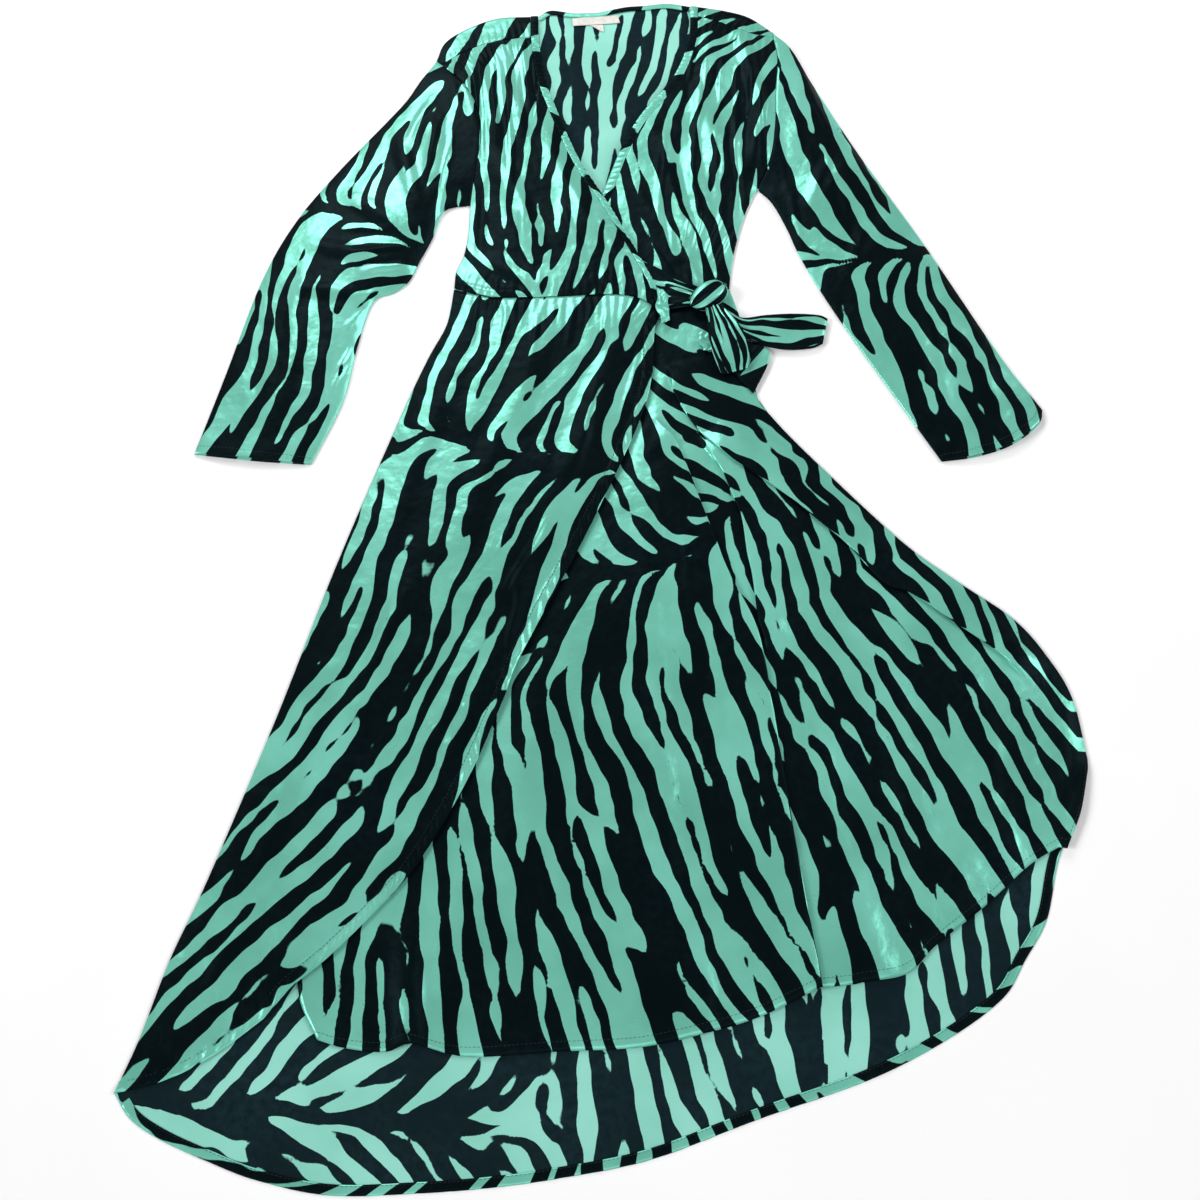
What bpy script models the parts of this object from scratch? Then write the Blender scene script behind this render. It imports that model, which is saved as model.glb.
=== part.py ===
"""A satin wrap dress, laid flat on its back with its front up.

The tables are in millimetres: X runs across the dress, Y from hem to neck, Z up from the
surface it lies on. "right" and "left" are the wearer's, so the right pieces lie towards -X.
The back lies flat on the surface. The left front lies on it, the right front over both,
and the tie is knotted in a bow at the left of the waist.
"""
import math

import bmesh
import bpy
import numpy as np

# ---------------------------------------------------------------- driving sizes
MM = 0.001
WALL = 1.2                          # thickness of the cloth
GAP = 0.3                           # clearance between pieces that touch
SEAM = 0.35                         # how far each piece stops short of its seam
BEND = 1.1                          # radius of a folded edge, to the middle of the wall
REST = WALL + GAP + WALL / 2        # middle of a front that lies on the back
LIFT = WALL + GAP + 0.9             # from the left front to the right front over it
REACH = 62.0                        # how far in from a side seam the cloth reaches its height
NECK_BAND = 10.0                    # width of the neck edge's binding
BACK_BAND = 5.5                     # width of the back neck's binding
HEM = 11.0                          # width of the back's turned-up hem
ORIGIN = (19.0, 100.0)              # middle of the dress's box, as the tables give it
SAMPLES = 240                       # points of a smooth line

# Corners where seams meet: name, x, y
CORNERS = {
    "neck_r": (-80, 803), "neck_l": (117, 819),
    "tip_r": (-209, 733), "tip_l": (223, 777),
    "yoke_arm_r": (-203.2, 727.2), "yoke_arm_l": (222.4, 770.5),
    "arm_r": (-160, 517), "arm_l": (194, 540),
    "waist_r": (-176, 398), "waist_l": (156, 398),
    "cross": (78, 360), "tuck": (-90, 380),
    "hem_r": (-488, -528), "hem_l": (526, -184),
    "wrap_turn": (-341, -454), "under_turn": (-287, -476),
    "cuff_out_r": (-470, 179), "cuff_in_r": (-334, 166),
    "cuff_out_l": (518, 236), "cuff_in_l": (395, 170),
}

# Seams and edges, each a smooth line: name, then corners and points (x, y) along it
LINES = {
    "neck_back": ["neck_r", (-64, 813), (-36, 809), (-18, 809), (-2, 810), (18, 815), (36, 819),
                  (60, 821), (88, 824), "neck_l"],
    "shoulder_r": ["tip_r", (-198, 762), (-168, 784), (-127, 800), "neck_r"],
    "shoulder_l": ["neck_l", (158, 812), (192, 801), "tip_l"],
    "yoke_r": ["yoke_arm_r", (-157, 751), (-121, 762), (-88, 768)],
    "yoke_l": [(109, 803), (149, 792), (187, 776), "yoke_arm_l"],
    "armhole_r": ["yoke_arm_r", (-180, 700), (-156, 660), (-148, 614), (-154, 567), "arm_r"],
    "armhole_l": ["yoke_arm_l", (226, 733), (222, 682), (219, 629), (211, 580), "arm_l"],
    "side_r": ["arm_r", (-161, 475), (-166, 443), (-174, 422), "waist_r"],
    "side_l": ["arm_l", (178, 503), (166, 461), (159, 426), "waist_l"],
    "neck_edge_r": ["neck_r", (-78, 760), (-70, 705), (-56, 660), (-25, 580), (15, 507),
                    (50, 437), (69, 394), "cross"],
    "neck_edge_l": ["neck_l", (113, 760), (92, 699), (53, 646), (28, 599), (12, 558),
                    (-4, 516), (-31, 461), (-60, 415), "tuck"],
    "waist_over": ["waist_r", (-147, 389), (-118, 383), (-48, 385), (6, 387), (48, 382), "cross"],
    "waist_under": ["tuck", (30, 382), "waist_l"],
    "waist_back": ["waist_r", (0, 382), "waist_l"],
    "skirt_side_r": ["waist_r", (-183, 350), (-204, 303), (-234, 224), (-295, 48),
                     (-353, -139), (-412, -313), (-444, -396), (-468, -476), "hem_r"],
    "skirt_side_l": ["waist_l", (170, 350), (181, 300), (184, 255), (203, 224), (246, 173),
                     (339, 73), (398, 24), (461, -24), (496, -71), (517, -117), "hem_l"],
    "wrap": ["cross", (66, 345), (61, 276), (43, 211), (-14, 81), (-83, -59), (-105, -117),
             (-135, -192), (-165, -252), (-198, -306), (-232, -345), (-279, -393), (-316, -424),
             "wrap_turn"],
    "wrap_hem": ["hem_r", (-452, -520), (-416, -506), (-380, -484), "wrap_turn"],
    "under_edge": ["tuck", (-140, 220), (-205, 0), (-265, -190), (-308, -370), (-309, -430),
                   "under_turn"],
    "hem_back": ["hem_r", (-469, -553), (-436, -573), (-390, -592), (-339, -610), (-266, -624),
                 (-177, -622), (-108, -617), (-45, -609), (50, -591), (158, -553), (272, -515),
                 (353, -476), (413, -435), (440, -396), (466, -355), (485, -292), (515, -232),
                 "hem_l"],
    "hem_under": ["under_turn", (-259, -484), (-218, -488), (-191, -480), (-152, -490),
                  (-121, -493), (-41, -488), (41, -484), (102, -472), (163, -455), (228, -426)],
    "hem_side": [(262, -421), (311, -412), (344, -384), (395, -349), (442, -312), (472, -297)],
    "hem_corner": [(484, -280), (508, -242), (523, -200), "hem_l"],
    "sleeve_out_r": ["tip_r", (-227, 702), (-253, 660), (-324, 567), (-373, 493), (-409, 409),
                     (-443, 279), "cuff_out_r"],
    "sleeve_in_r": ["arm_r", (-192, 508), (-205, 469), (-219, 437), (-231, 409), (-249, 393),
                    (-266, 387), (-277, 370), (-289, 317), (-302, 246), "cuff_in_r"],
    "sleeve_out_l": ["tip_l", (245, 749), (279, 678), (325, 587), (397, 457), (475, 306),
                     "cuff_out_l"],
    "sleeve_in_l": ["arm_l", (212, 520), (229, 483), (246, 437), (288, 354), (365, 221),
                    "cuff_in_l"],
    "cuff_r": ["cuff_out_r", (-435, 175), (-391, 170), "cuff_in_r"],
    "cuff_l": ["cuff_out_l", (510, 215), (476, 190), (435, 176), "cuff_in_l"],
}

# How high the fronts stand over the back: y, left front, right front
FULLNESS = [
    (830, 2.5, 2.5), (720, 8.0, 8.0), (610, 10.0, 10.0), (500, 8.0, 9.0), (420, 4.5, 6.0),
    (380, 2.5, 4.0), (300, 3.0, 4.5), (100, 4.5, 5.5), (-150, 5.5, 5.5), (-350, 4.5, 4.0),
    (-500, 2.5, 2.0),
]

# Where the layers settle: distance at which the rise starts, and how far it takes
UNDER_WRAP = (6.0, 70.0)            # the left front, from the edge of the right one over it
OVER_UNDERLAP = (-48.0, 42.0)       # the right front, over the hidden edge of the left one
# How flat the cloth is at an edge: share of its fullness there, distance to its whole
AT_HEM = (0.35, 60.0)
AT_WRAP = (0.30, 55.0)

# Gathers across the neck bindings: how many, half of their height, rows of points
RIGHT_BAND_GATHERS = (24, 0.7, 73)
LEFT_BAND_GATHERS = (9, 0.3, 35)

# Folds and gathers: layer, from (x, y), to (x, y), height, half of its width
FOLDS = [
    ("over", -186, 742, -152, 610, 4.0, 14), ("over", -158, 758, -128, 590, 5.0, 14),
    ("over", -130, 768, -96, 610, 4.5, 13), ("over", -104, 772, -84, 640, 4.0, 12),
    ("over", -136, 600, -70, 430, 4.0, 22), ("over", -70, 620, 10, 430, 4.5, 20),
    ("over", -20, 550, 50, 400, 3.0, 16), ("over", -166, 450, -60, 395, 2.5, 16),
    ("over", -150, 370, -250, 60, 3.0, 26), ("over", -60, 350, -170, 40, 3.5, 26),
    ("over", 20, 330, -60, 90, 3.0, 22), ("over", -190, 60, -330, -290, 3.0, 30),
    ("over", -100, 20, -230, -290, 3.5, 26), ("over", -60, 40, -112, -130, 4.0, 18),
    ("over", -250, 30, -400, -350, 2.5, 28),
    ("under", 176, 800, 204, 640, 5.0, 15), ("under", 204, 700, 186, 530, 4.5, 14),
    ("under", 150, 800, 118, 640, 4.0, 16), ("under", 128, 690, 150, 540, 4.0, 20),
    ("under", 70, 620, 118, 420, 4.5, 18), ("under", 110, 600, 134, 420, 4.0, 15),
    ("under", 160, 560, 146, 430, 3.5, 14), ("under", 30, 560, 96, 430, 3.0, 14),
    ("under", -205, -330, -190, -520, 6.0, 24), ("under", 44, 170, 78, -320, 2.5, 22),
    ("under", -60, -60, -110, -340, 3.0, 34), ("under", -40, -350, -50, -520, 2.5, 26),
    ("under", 96, -330, 110, -510, 2.5, 26), ("under", 290, -120, 318, -330, 3.0, 34),
    ("under", 262, -300, 300, -450, 2.5, 22), ("under", 400, -180, 440, -330, 2.5, 26),
    ("sleeve_r", -215, 690, -205, 545, 5.0, 20), ("sleeve_r", -262, 640, -222, 505, 4.5, 16),
    ("sleeve_r", -330, 540, -230, 470, 4.0, 18), ("sleeve_r", -375, 465, -255, 430, 3.5, 16),
    ("sleeve_r", -395, 400, -280, 385, 3.5, 14), ("sleeve_r", -355, 360, -385, 200, 3.0, 20),
    ("sleeve_l", 250, 700, 235, 560, 4.0, 18), ("sleeve_l", 300, 600, 250, 500, 3.5, 16),
    ("sleeve_l", 345, 520, 292, 400, 3.0, 18), ("sleeve_l", 390, 400, 405, 240, 3.0, 20),
    ("sleeve_l", 440, 330, 470, 220, 2.5, 16),
]

# Pleats of the left front's skirt: name, side that lies on top, edge that shows
PLEATS = [
    ("waist_pleat", "left", [(28, 330), (56, 262), (93, 180), (118, 107), (147, 25),
                             (174, -37), (187, -119), (205, -266), (228, -424)]),
    ("small_pleat", "right", [(46, 325), (66, 272), (90, 225), (116, 188), (138, 160),
                              (150, 128), (161, 96), (166, 53), (171, 24), (178, -47),
                              (200, -160), (228, -290), (262, -421)]),
    ("bow_pleat", "right", [(64, 320), (84, 262), (108, 216), (139, 180), (173, 154),
                            (212, 125), (245, 96), (280, 63), (317, 18), (349, 4),
                            (397, -33), (446, -72), (474, -118), (490, -170), (493, -225),
                            (484, -280)]),
]
PLEAT_TOPS = {"waist_pleat": 0.44, "small_pleat": 0.50, "bow_pleat": 0.57}   # along the waist

# How each pleat is folded: distance from the waist, turn (1 is folded back), depth
PLEAT_FOLDING = {
    "waist_pleat": [(0, 0.0, 3), (160, 0.0, 3), (214, 1.0, 4), (292, 1.0, 18), (850, 1.0, 22)],
    "small_pleat": [(0, 0.0, 1), (205, 0.0, 1), (250, 1.0, 2), (300, 1.0, 4), (340, 1.0, 9),
                    (380, 1.0, 8), (430, 1.0, 2), (480, 0.0, 1), (900, 0.0, 1)],
    "bow_pleat": [(0, 0.0, 2), (95, 0.0, 2), (145, 1.0, 3), (225, 1.0, 16), (520, 1.0, 20),
                  (620, 1.0, 2), (665, 0.0, 2), (900, 0.0, 2)],
}
PLEAT_FADE = 60.0                   # how far beside a pleat the cloth takes to settle
STRAP_PLEATS = 1.1                  # half the height of the strap's pleats
NEAR_WAIST = (300.0, 0.42)          # the first millimetres of the skirt, and their share of rows

FRONT_COLUMNS = 16                  # points across a bodice front

# Points round a sleeve: on its underside, and on top
SLEEVE_UNDER, SLEEVE_OVER = 7, 11

# Height of each sleeve's upper side: share of its length, height
SLEEVE_FULLNESS = [(0.0, 9.0), (0.2, 12.0), (0.5, 10.0), (0.8, 8.0), (1.0, 6.5)]

# Bow: each loop's axis from the knot outwards (x, y), then a row for each station along the
# cloth, out on its underside and back on top: share of the axis, height, width, sideways
LOOP_SIDE_AXIS = ((143, 366), (268, 338))
LOOP_SIDE = [
    (0.00, 5.8, 12, 0), (0.12, 5.5, 15, -8), (0.24, 5.0, 22, -15), (0.44, 3.5, 38, -14),
    (0.68, 2.0, 46, -9), (0.90, 1.4, 43, -2), (0.985, 2.0, 35, 1), (1.00, 3.9, 32, 1),
    (0.985, 5.8, 35, 1), (0.90, 7.2, 43, -2), (0.68, 8.8, 46, -9), (0.44, 9.6, 38, -14),
    (0.24, 8.6, 22, -15), (0.12, 8.0, 15, -8), (0.00, 8.2, 12, 0),
]
LOOP_LOW_AXIS = ((135, 367), (160, 283))
LOOP_LOW = [
    (0.00, 11.0, 16, 0), (0.16, 10.9, 22, 1), (0.36, 10.3, 34, 2), (0.62, 8.9, 43, 3),
    (0.86, 8.0, 40, 2), (0.97, 8.2, 34, 0), (1.00, 10.0, 31, 0), (0.96, 11.9, 34, 0),
    (0.84, 13.4, 40, 2), (0.60, 15.6, 44, 3), (0.36, 16.8, 38, 2), (0.16, 17.0, 27, 1),
    (0.00, 16.8, 20, 0),
]
KNOT_CENTRE = (130, 383, 13.9)
KNOT_RADII = (24, 16.5, 9.0)
KNOT_TURN = 37.0                    # degrees, of its long axis
LOOP_ROWS = 23                      # rows of points along a loop's cloth
# Gathers where a loop leaves the knot: how many across it, half of their height
LOOP_SIDE_GATHERS = (1.5, 0.3)
LOOP_LOW_GATHERS = (2.0, 0.8)

# The strap from the right front's edge to the knot: where it starts, as shares of the neck
# edge, and where it ends (x, y)
STRAP_START = (0.83, 0.985)
STRAP_END = ((124, 392), (118, 372))

# The tail beneath the bow: its slanted end is its right side (x, y), then its height
TAIL_TOP = ((150, 336), (190, 320.5))
TAIL_LEFT = ((150, 336), (150, 292))
TAIL_END = ((190, 320.5), (200, 313), (199, 296), (180, 256))
TAIL_HEIGHT, TAIL_DROP = 5.7, 1.2

# The label and the tab under it, each clockwise from its top left (x, y)
LABEL = ((-36, 800.4), (23, 805.4), (26, 793.2), (-35, 788.4))
LABEL_TAB = ((-12, 789.3), (4, 790.6), (5, 779), (-1, 781.5))


# ---------------------------------------------------------------- smooth lines
def through(knots, steps):
    """Points along a Catmull-Rom curve through the rows given, some steps to each."""
    knots = np.vstack([2 * knots[0] - knots[1], knots, 2 * knots[-1] - knots[-2]])
    t = np.linspace(0, 1, steps, endpoint=False)[:, None]
    runs = [0.5 * (2 * b + (c - a) * t + (2 * a - 5 * b + 4 * c - d) * t ** 2
                   + (3 * b - a - 3 * c + d) * t ** 3)
            for a, b, c, d in zip(knots, knots[1:], knots[2:], knots[3:])]
    return np.vstack(runs + [knots[-2:-1]])


def smooth(points):
    """Even points along a smooth line through corners and points."""
    knots = np.array([CORNERS[p] if isinstance(p, str) else p for p in points], float)
    return resample(through(knots, 24), SAMPLES)


def resample(line, count):
    """The same line with evenly spaced points."""
    return point_at(line, np.linspace(0, 1, count))


def lengths(line):
    steps = np.linalg.norm(np.diff(line, axis=0), axis=1)
    return np.concatenate([[0.0], np.cumsum(steps)])


def point_at(line, shares):
    """Points of a line at shares of its length."""
    along = lengths(line)
    where = np.asarray(shares, float) * along[-1]
    return np.stack([np.interp(where, along, line[:, k]) for k in range(line.shape[1])], -1)


def cut(line, start, end, count=SAMPLES):
    return point_at(line, np.linspace(start, end, count))


def join(*lines):
    return resample(np.vstack(lines), SAMPLES)


def pin(line, start, end):
    """Shift a line's ends onto two points; the shift fades along it."""
    u = np.linspace(0, 1, len(line))[:, None]
    return line + (start - line[0]) * (1 - u) ** 2 + (end - line[-1]) * u ** 2


def tangents(line):
    steps = np.gradient(line, axis=0)
    return steps / np.linalg.norm(steps, axis=1)[:, None]


def beside(line, distance):
    """A line at a distance to the left of the way that this one runs."""
    along = tangents(line)
    return line + distance * np.stack([-along[:, 1], along[:, 0]], -1)


def share_near(line, point):
    """The share of its length at which a line passes nearest to a point."""
    nearest = np.argmin(np.linalg.norm(line - point, axis=1))
    return lengths(line)[nearest] / lengths(line)[-1]


def nearest(line, xy):
    """Distance of each point to a line, negative on its right-hand side, and the place."""
    flat = xy.reshape(-1, 2)
    start, step = line[:-1], np.diff(line, axis=0)
    away = flat[:, None] - start[None]
    share = np.clip((away * step).sum(-1) / (step ** 2).sum(-1), 0, 1)
    apart = np.linalg.norm(away - share[..., None] * step, axis=-1)
    best = apart.argmin(axis=1)
    rows = np.arange(len(flat))
    side = step[best, 0] * away[rows, best, 1] - step[best, 1] * away[rows, best, 0]
    signed = np.where(side < 0, -1.0, 1.0) * apart[rows, best]
    return signed.reshape(xy.shape[:-1]), (best + share[rows, best]).reshape(xy.shape[:-1])


def distance(line, xy):
    return nearest(line, xy)[0]


def rise(share):
    """From 0 to 1, steep at first, as cloth rises from a folded edge."""
    return np.sin(np.clip(share, 0, 1) * math.pi / 2)


def ease(share):
    """From 0 to 1, level at both ends."""
    share = np.clip(share, 0, 1)
    return share * share * (3 - 2 * share)


LINE = {name: smooth(points) for name, points in LINES.items()}
RIGHT_SEAMS = np.vstack([LINE["shoulder_r"][::-1], LINE["shoulder_r"][:1], LINE["side_r"],
                         LINE["skirt_side_r"]])
OVER_RIM = np.vstack([LINE["neck_edge_r"], LINE["wrap"][1:], LINE["wrap_hem"][::-1][1:]])
UNDER_RIM = np.vstack([LINE["neck_edge_l"], LINE["under_edge"][1:]])


# ---------------------------------------------------------------- heights of the layers
def seam_distance(names, xy):
    return np.min([np.abs(distance(LINE[name], xy)) for name in names], axis=0)


def fullness(layer, xy):
    table = np.array(FULLNESS)[::-1]
    column = {"under": 1, "over": 2}[layer]
    return np.interp(xy[..., 1], table[:, 0], table[:, column])


def folds(layer, xy):
    """Sum of the soft ridges of one layer."""
    total = np.zeros(xy.shape[:-1])
    for name, x0, y0, x1, y1, height, half in FOLDS:
        if name != layer:
            continue
        start, way = np.array((x0, y0), float), np.array((x1 - x0, y1 - y0), float)
        span = np.linalg.norm(way)
        way = way / span
        offset = xy - start
        along = np.clip(offset @ way / span, 0, 1)
        across = np.abs(offset @ np.array((-way[1], way[0]))) / half
        crest = np.cos(np.clip(across, 0, 1) * math.pi / 2) ** 2
        total += height * crest * np.sin(math.pi * along) ** 0.7
    return total


def flattened(edge, away):
    """Share of the fullness that cloth has at a distance from its edge."""
    share, reach = edge
    return share + (1 - share) * rise(away / reach)


def under_height(xy):
    """Middle of the left front: low at its seams and where the right front lies on it."""
    seams = seam_distance(["side_l", "skirt_side_l", "shoulder_l"], xy)
    start, span = UNDER_WRAP
    clear = rise((distance(OVER_RIM, xy) - start) / span)
    hem = flattened(AT_HEM, seam_distance(["hem_under", "hem_side"], xy))
    loft = fullness("under", xy) * hem + folds("under", xy)
    return REST + loft * clear * rise(seams / REACH)


def over_height(xy):
    """Middle of the right front: raised where the left front lies beneath it."""
    seams = seam_distance(["side_r", "skirt_side_r", "shoulder_r"], xy)
    start, span = OVER_UNDERLAP
    covered = ease((distance(UNDER_RIM, xy) - start) / span)
    rim = flattened(AT_WRAP, np.abs(distance(OVER_RIM, xy)))
    loft = (fullness("over", xy) * rim + folds("over", xy) * ease(rim)) * rise(seams / REACH)
    return REST + LIFT * covered + loft


# ---------------------------------------------------------------- surfaces
def patch(top, bottom, left, right, across, down):
    """Points of a Coons patch; top and bottom run left to right, left and right run down."""
    u, v = np.asarray(across)[None, :, None], np.asarray(down)[:, None, None]
    top_row, bottom_row = point_at(top, across)[None], point_at(bottom, across)[None]
    left_column, right_column = point_at(left, down)[:, None], point_at(right, down)[:, None]
    corners = ((1 - v) * ((1 - u) * top[0] + u * top[-1])
               + v * ((1 - u) * bottom[0] + u * bottom[-1]))
    return ((1 - v) * top_row + v * bottom_row + (1 - u) * left_column + u * right_column
            - corners)


def inset(grid, amount):
    """Draw a patch's rim in, so that it stops short of its seams."""
    moved = grid.copy()
    for edge, inner in ((np.s_[0], np.s_[1]), (np.s_[-1], np.s_[-2]),
                        (np.s_[:, 0], np.s_[:, 1]), (np.s_[:, -1], np.s_[:, -2])):
        way = grid[inner] - grid[edge]
        moved[edge] += amount * way / np.linalg.norm(way, axis=-1, keepdims=True)
    return moved


def with_height(xy, z):
    return np.concatenate([xy, np.broadcast_to(z, xy.shape[:-1])[..., None]], -1)


def sheet_mesh(points, closed=False):
    """A mesh of quads over a grid of points; closed joins its last column to its first."""
    mesh = bmesh.new()
    rows, columns = points.shape[:2]
    shifted = (points - np.array((*ORIGIN, 0.0))) * MM
    corner = [[mesh.verts.new(p) for p in row] for row in shifted]
    for r in range(rows - 1):
        for c in range(columns if closed else columns - 1):
            n = (c + 1) % columns
            mesh.faces.new((corner[r][c], corner[r + 1][c], corner[r + 1][n], corner[r][n]))
    return mesh


def add_object(name, mesh, material, wall=None):
    """Put a mesh in the dress's collection, with Solidify where it is a sheet."""
    data = bpy.data.meshes.new(name)
    mesh.to_mesh(data)
    mesh.free()
    data.shade_smooth()
    data.materials.append(material)
    piece = bpy.data.objects.new(name, data)
    bpy.data.collections["wrap_dress"].objects.link(piece)
    if wall:
        solid = piece.modifiers.new("wall", "SOLIDIFY")
        solid.thickness = wall * MM
        solid.offset = 0.0
    return piece


def add_sheet(name, points, material, closed=False):
    return add_object(name, sheet_mesh(points, closed), material, WALL)


def add_flat(name, outline, material, inward=SEAM):
    """A flat piece that lies on the surface: a filled outline as thick as the cloth."""
    loop = np.vstack([outline, outline[:1]])
    area = 0.5 * np.sum(loop[:-1, 0] * loop[1:, 1] - loop[1:, 0] * loop[:-1, 1])
    ring = outline if area > 0 else outline[::-1]
    steps = np.roll(ring, -1, axis=0) - np.roll(ring, 1, axis=0)
    normals = np.stack([-steps[:, 1], steps[:, 0]], -1)
    ring = ring + inward * normals / np.linalg.norm(normals, axis=1)[:, None]
    curve = bpy.data.curves.new(name, "CURVE")
    curve.dimensions = "2D"
    curve.fill_mode = "BOTH"
    curve.extrude = WALL / 2 * MM
    spline = curve.splines.new("POLY")
    spline.points.add(len(ring) - 1)
    for point, (x, y) in zip(spline.points, ring):
        point.co = ((x - ORIGIN[0]) * MM, (y - ORIGIN[1]) * MM, 0.0, 1.0)
    spline.use_cyclic_u = True
    curve.materials.append(material)
    piece = bpy.data.objects.new(name, curve)
    piece.location.z = WALL / 2 * MM
    bpy.data.collections["wrap_dress"].objects.link(piece)
    return piece


def run(line, count):
    """Points along a line, without its last."""
    return resample(line, count + 1)[:-1]


# ---------------------------------------------------------------- bodice
def armhole(side):
    """A sleeve's seam, from the shoulder's tip to the underarm."""
    return join(LINE["shoulder_" + side][{"r": np.s_[:1], "l": np.s_[-1:]}[side]],
                LINE["armhole_" + side])


def bodice_back(cloth):
    sides = {s: np.vstack([resample(armhole(s), SLEEVE_UNDER), run(LINE["side_" + s], 5)[1:]])
             for s in "rl"}
    waist = LINE["waist_back"]
    add_flat("bodice_back", np.vstack([
        run(LINE["shoulder_r"], 8)[1:], run(LINE["neck_back"], 14), run(LINE["shoulder_l"], 8),
        sides["l"], run(waist[::-1], 8), waist[:1], sides["r"][::-1]]), cloth, 2 * SEAM)


def neck_rims():
    """The inner edges of the bindings, and where the yoke seams meet them."""
    waist = LINE["waist_over"]
    inner_r = beside(LINE["neck_edge_r"], -NECK_BAND)
    inner_r = pin(inner_r, inner_r[0], point_at(waist, 1 - 13 / lengths(waist)[-1]))
    inner_l = beside(LINE["neck_edge_l"], NECK_BAND)
    inner_l = pin(inner_l, inner_l[0], point_at(LINE["waist_under"], 0.05))
    return inner_r, inner_l


def side_shares(side):
    """Shares of a front's outer edge that meet the sleeve's points, then the side's."""
    seam = armhole(side)
    whole = lengths(seam)[-1]
    top = np.linalg.norm(seam[0] - CORNERS["yoke_arm_" + side])
    meets = np.linspace(0, whole, SLEEVE_OVER)[1:-1] - top
    reach, below = lengths(LINE["armhole_" + side])[-1], lengths(LINE["side_" + side])[-1]
    return np.concatenate([[0], meets, np.linspace(reach, reach + below, 7)]) / (reach + below)


def front(name, height, top, left, right, bottom, rows, cloth):
    """A bodice front between its yoke seam, its binding, its side and the waist."""
    columns = np.linspace(0, 1, FRONT_COLUMNS)
    grid = inset(patch(top, bottom, left, right, columns, rows), SEAM)
    add_sheet(name, with_height(grid, height(grid)), cloth)


def bodice_fronts(cloth):
    inner_r, inner_l = neck_rims()
    # Right front, which lies on top.
    seam, waist = LINE["yoke_r"], LINE["waist_over"]
    meet = share_near(inner_r, seam[-1])
    top = pin(seam, seam[0], point_at(inner_r, meet))
    bottom = pin(cut(waist, 0, share_near(waist, inner_r[-1])), waist[0], inner_r[-1])
    front("bodice_front_right", over_height, top, join(LINE["armhole_r"], LINE["side_r"]),
          beside(cut(inner_r, meet, 1), -SEAM), bottom, side_shares("r"), cloth)
    yoke("yoke_right", over_height, LINE["shoulder_r"], top,
         np.linspace(LINE["shoulder_r"][0], top[0], SAMPLES), cut(inner_r, 0, meet), cloth)
    # Left front, which lies beneath it.
    seam, waist = LINE["yoke_l"], LINE["waist_under"]
    meet = share_near(inner_l, seam[0])
    top = pin(seam, point_at(inner_l, meet), seam[-1])
    bottom = pin(cut(waist, share_near(waist, inner_l[-1]), 1), inner_l[-1], waist[-1])
    front("bodice_front_left", under_height, top, beside(cut(inner_l, meet, 1), SEAM),
          join(LINE["armhole_l"], LINE["side_l"]), bottom, side_shares("l"), cloth)
    yoke("yoke_left", under_height, LINE["shoulder_l"], top, cut(inner_l, 0, meet),
         np.linspace(LINE["shoulder_l"][-1], top[-1], SAMPLES), cloth)


def yoke(name, height, shoulder, seam, left, right, cloth):
    """The strip between the shoulder's fold and the gathered yoke seam."""
    shoulder = pin(shoulder, left[0], right[0])
    grid = patch(shoulder, seam, left, right, np.linspace(0, 1, 15), np.linspace(0, 1, 3))
    grid = inset(grid, SEAM)
    add_sheet(name, with_height(grid, height(grid)), cloth)


def binding(name, outer, inner, height, gathers, cloth):
    """A narrow binding along a neck edge, with gathers across it."""
    waves, depth, count = gathers
    share = np.linspace(0, 1, count)
    grid = patch(np.stack([outer[0], inner[0]]), np.stack([outer[-1], inner[-1]]),
                 outer, inner, (0.0, 0.5, 1.0), share)
    grid = inset(grid, SEAM)
    wave = np.sin(2 * math.pi * waves * share + 1.3 * np.sin(9 * share))
    fade = rise(share * 20) * rise((1 - share) * 20)
    ripple = depth * (wave * fade)[:, None] * np.array((0.6, 1.0, 0.5))
    points = with_height(grid, height(grid) + ripple + depth)
    add_sheet(name, points[:, ::-1] if name.endswith("left") else points, cloth)


def neck_bindings(cloth):
    inner_r, inner_l = neck_rims()
    binding("neck_band_right", LINE["neck_edge_r"], inner_r, over_height,
            RIGHT_BAND_GATHERS, cloth)
    binding("neck_band_left", LINE["neck_edge_l"], inner_l, under_height,
            LEFT_BAND_GATHERS, cloth)
    across = np.linspace(0, 1, 27)
    top = beside(LINE["neck_back"], -SEAM)
    bottom = pin(beside(LINE["neck_back"], -BACK_BAND), top[0] + (3, -6), top[-1] + (-3, -7))
    sides = [np.linspace(top[k], bottom[k], SAMPLES) for k in (0, -1)]
    grid = inset(patch(top, bottom, *sides, across, (0.0, 1.0)), SEAM)
    add_sheet("neck_band_back", with_height(grid, REST), cloth)


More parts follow.
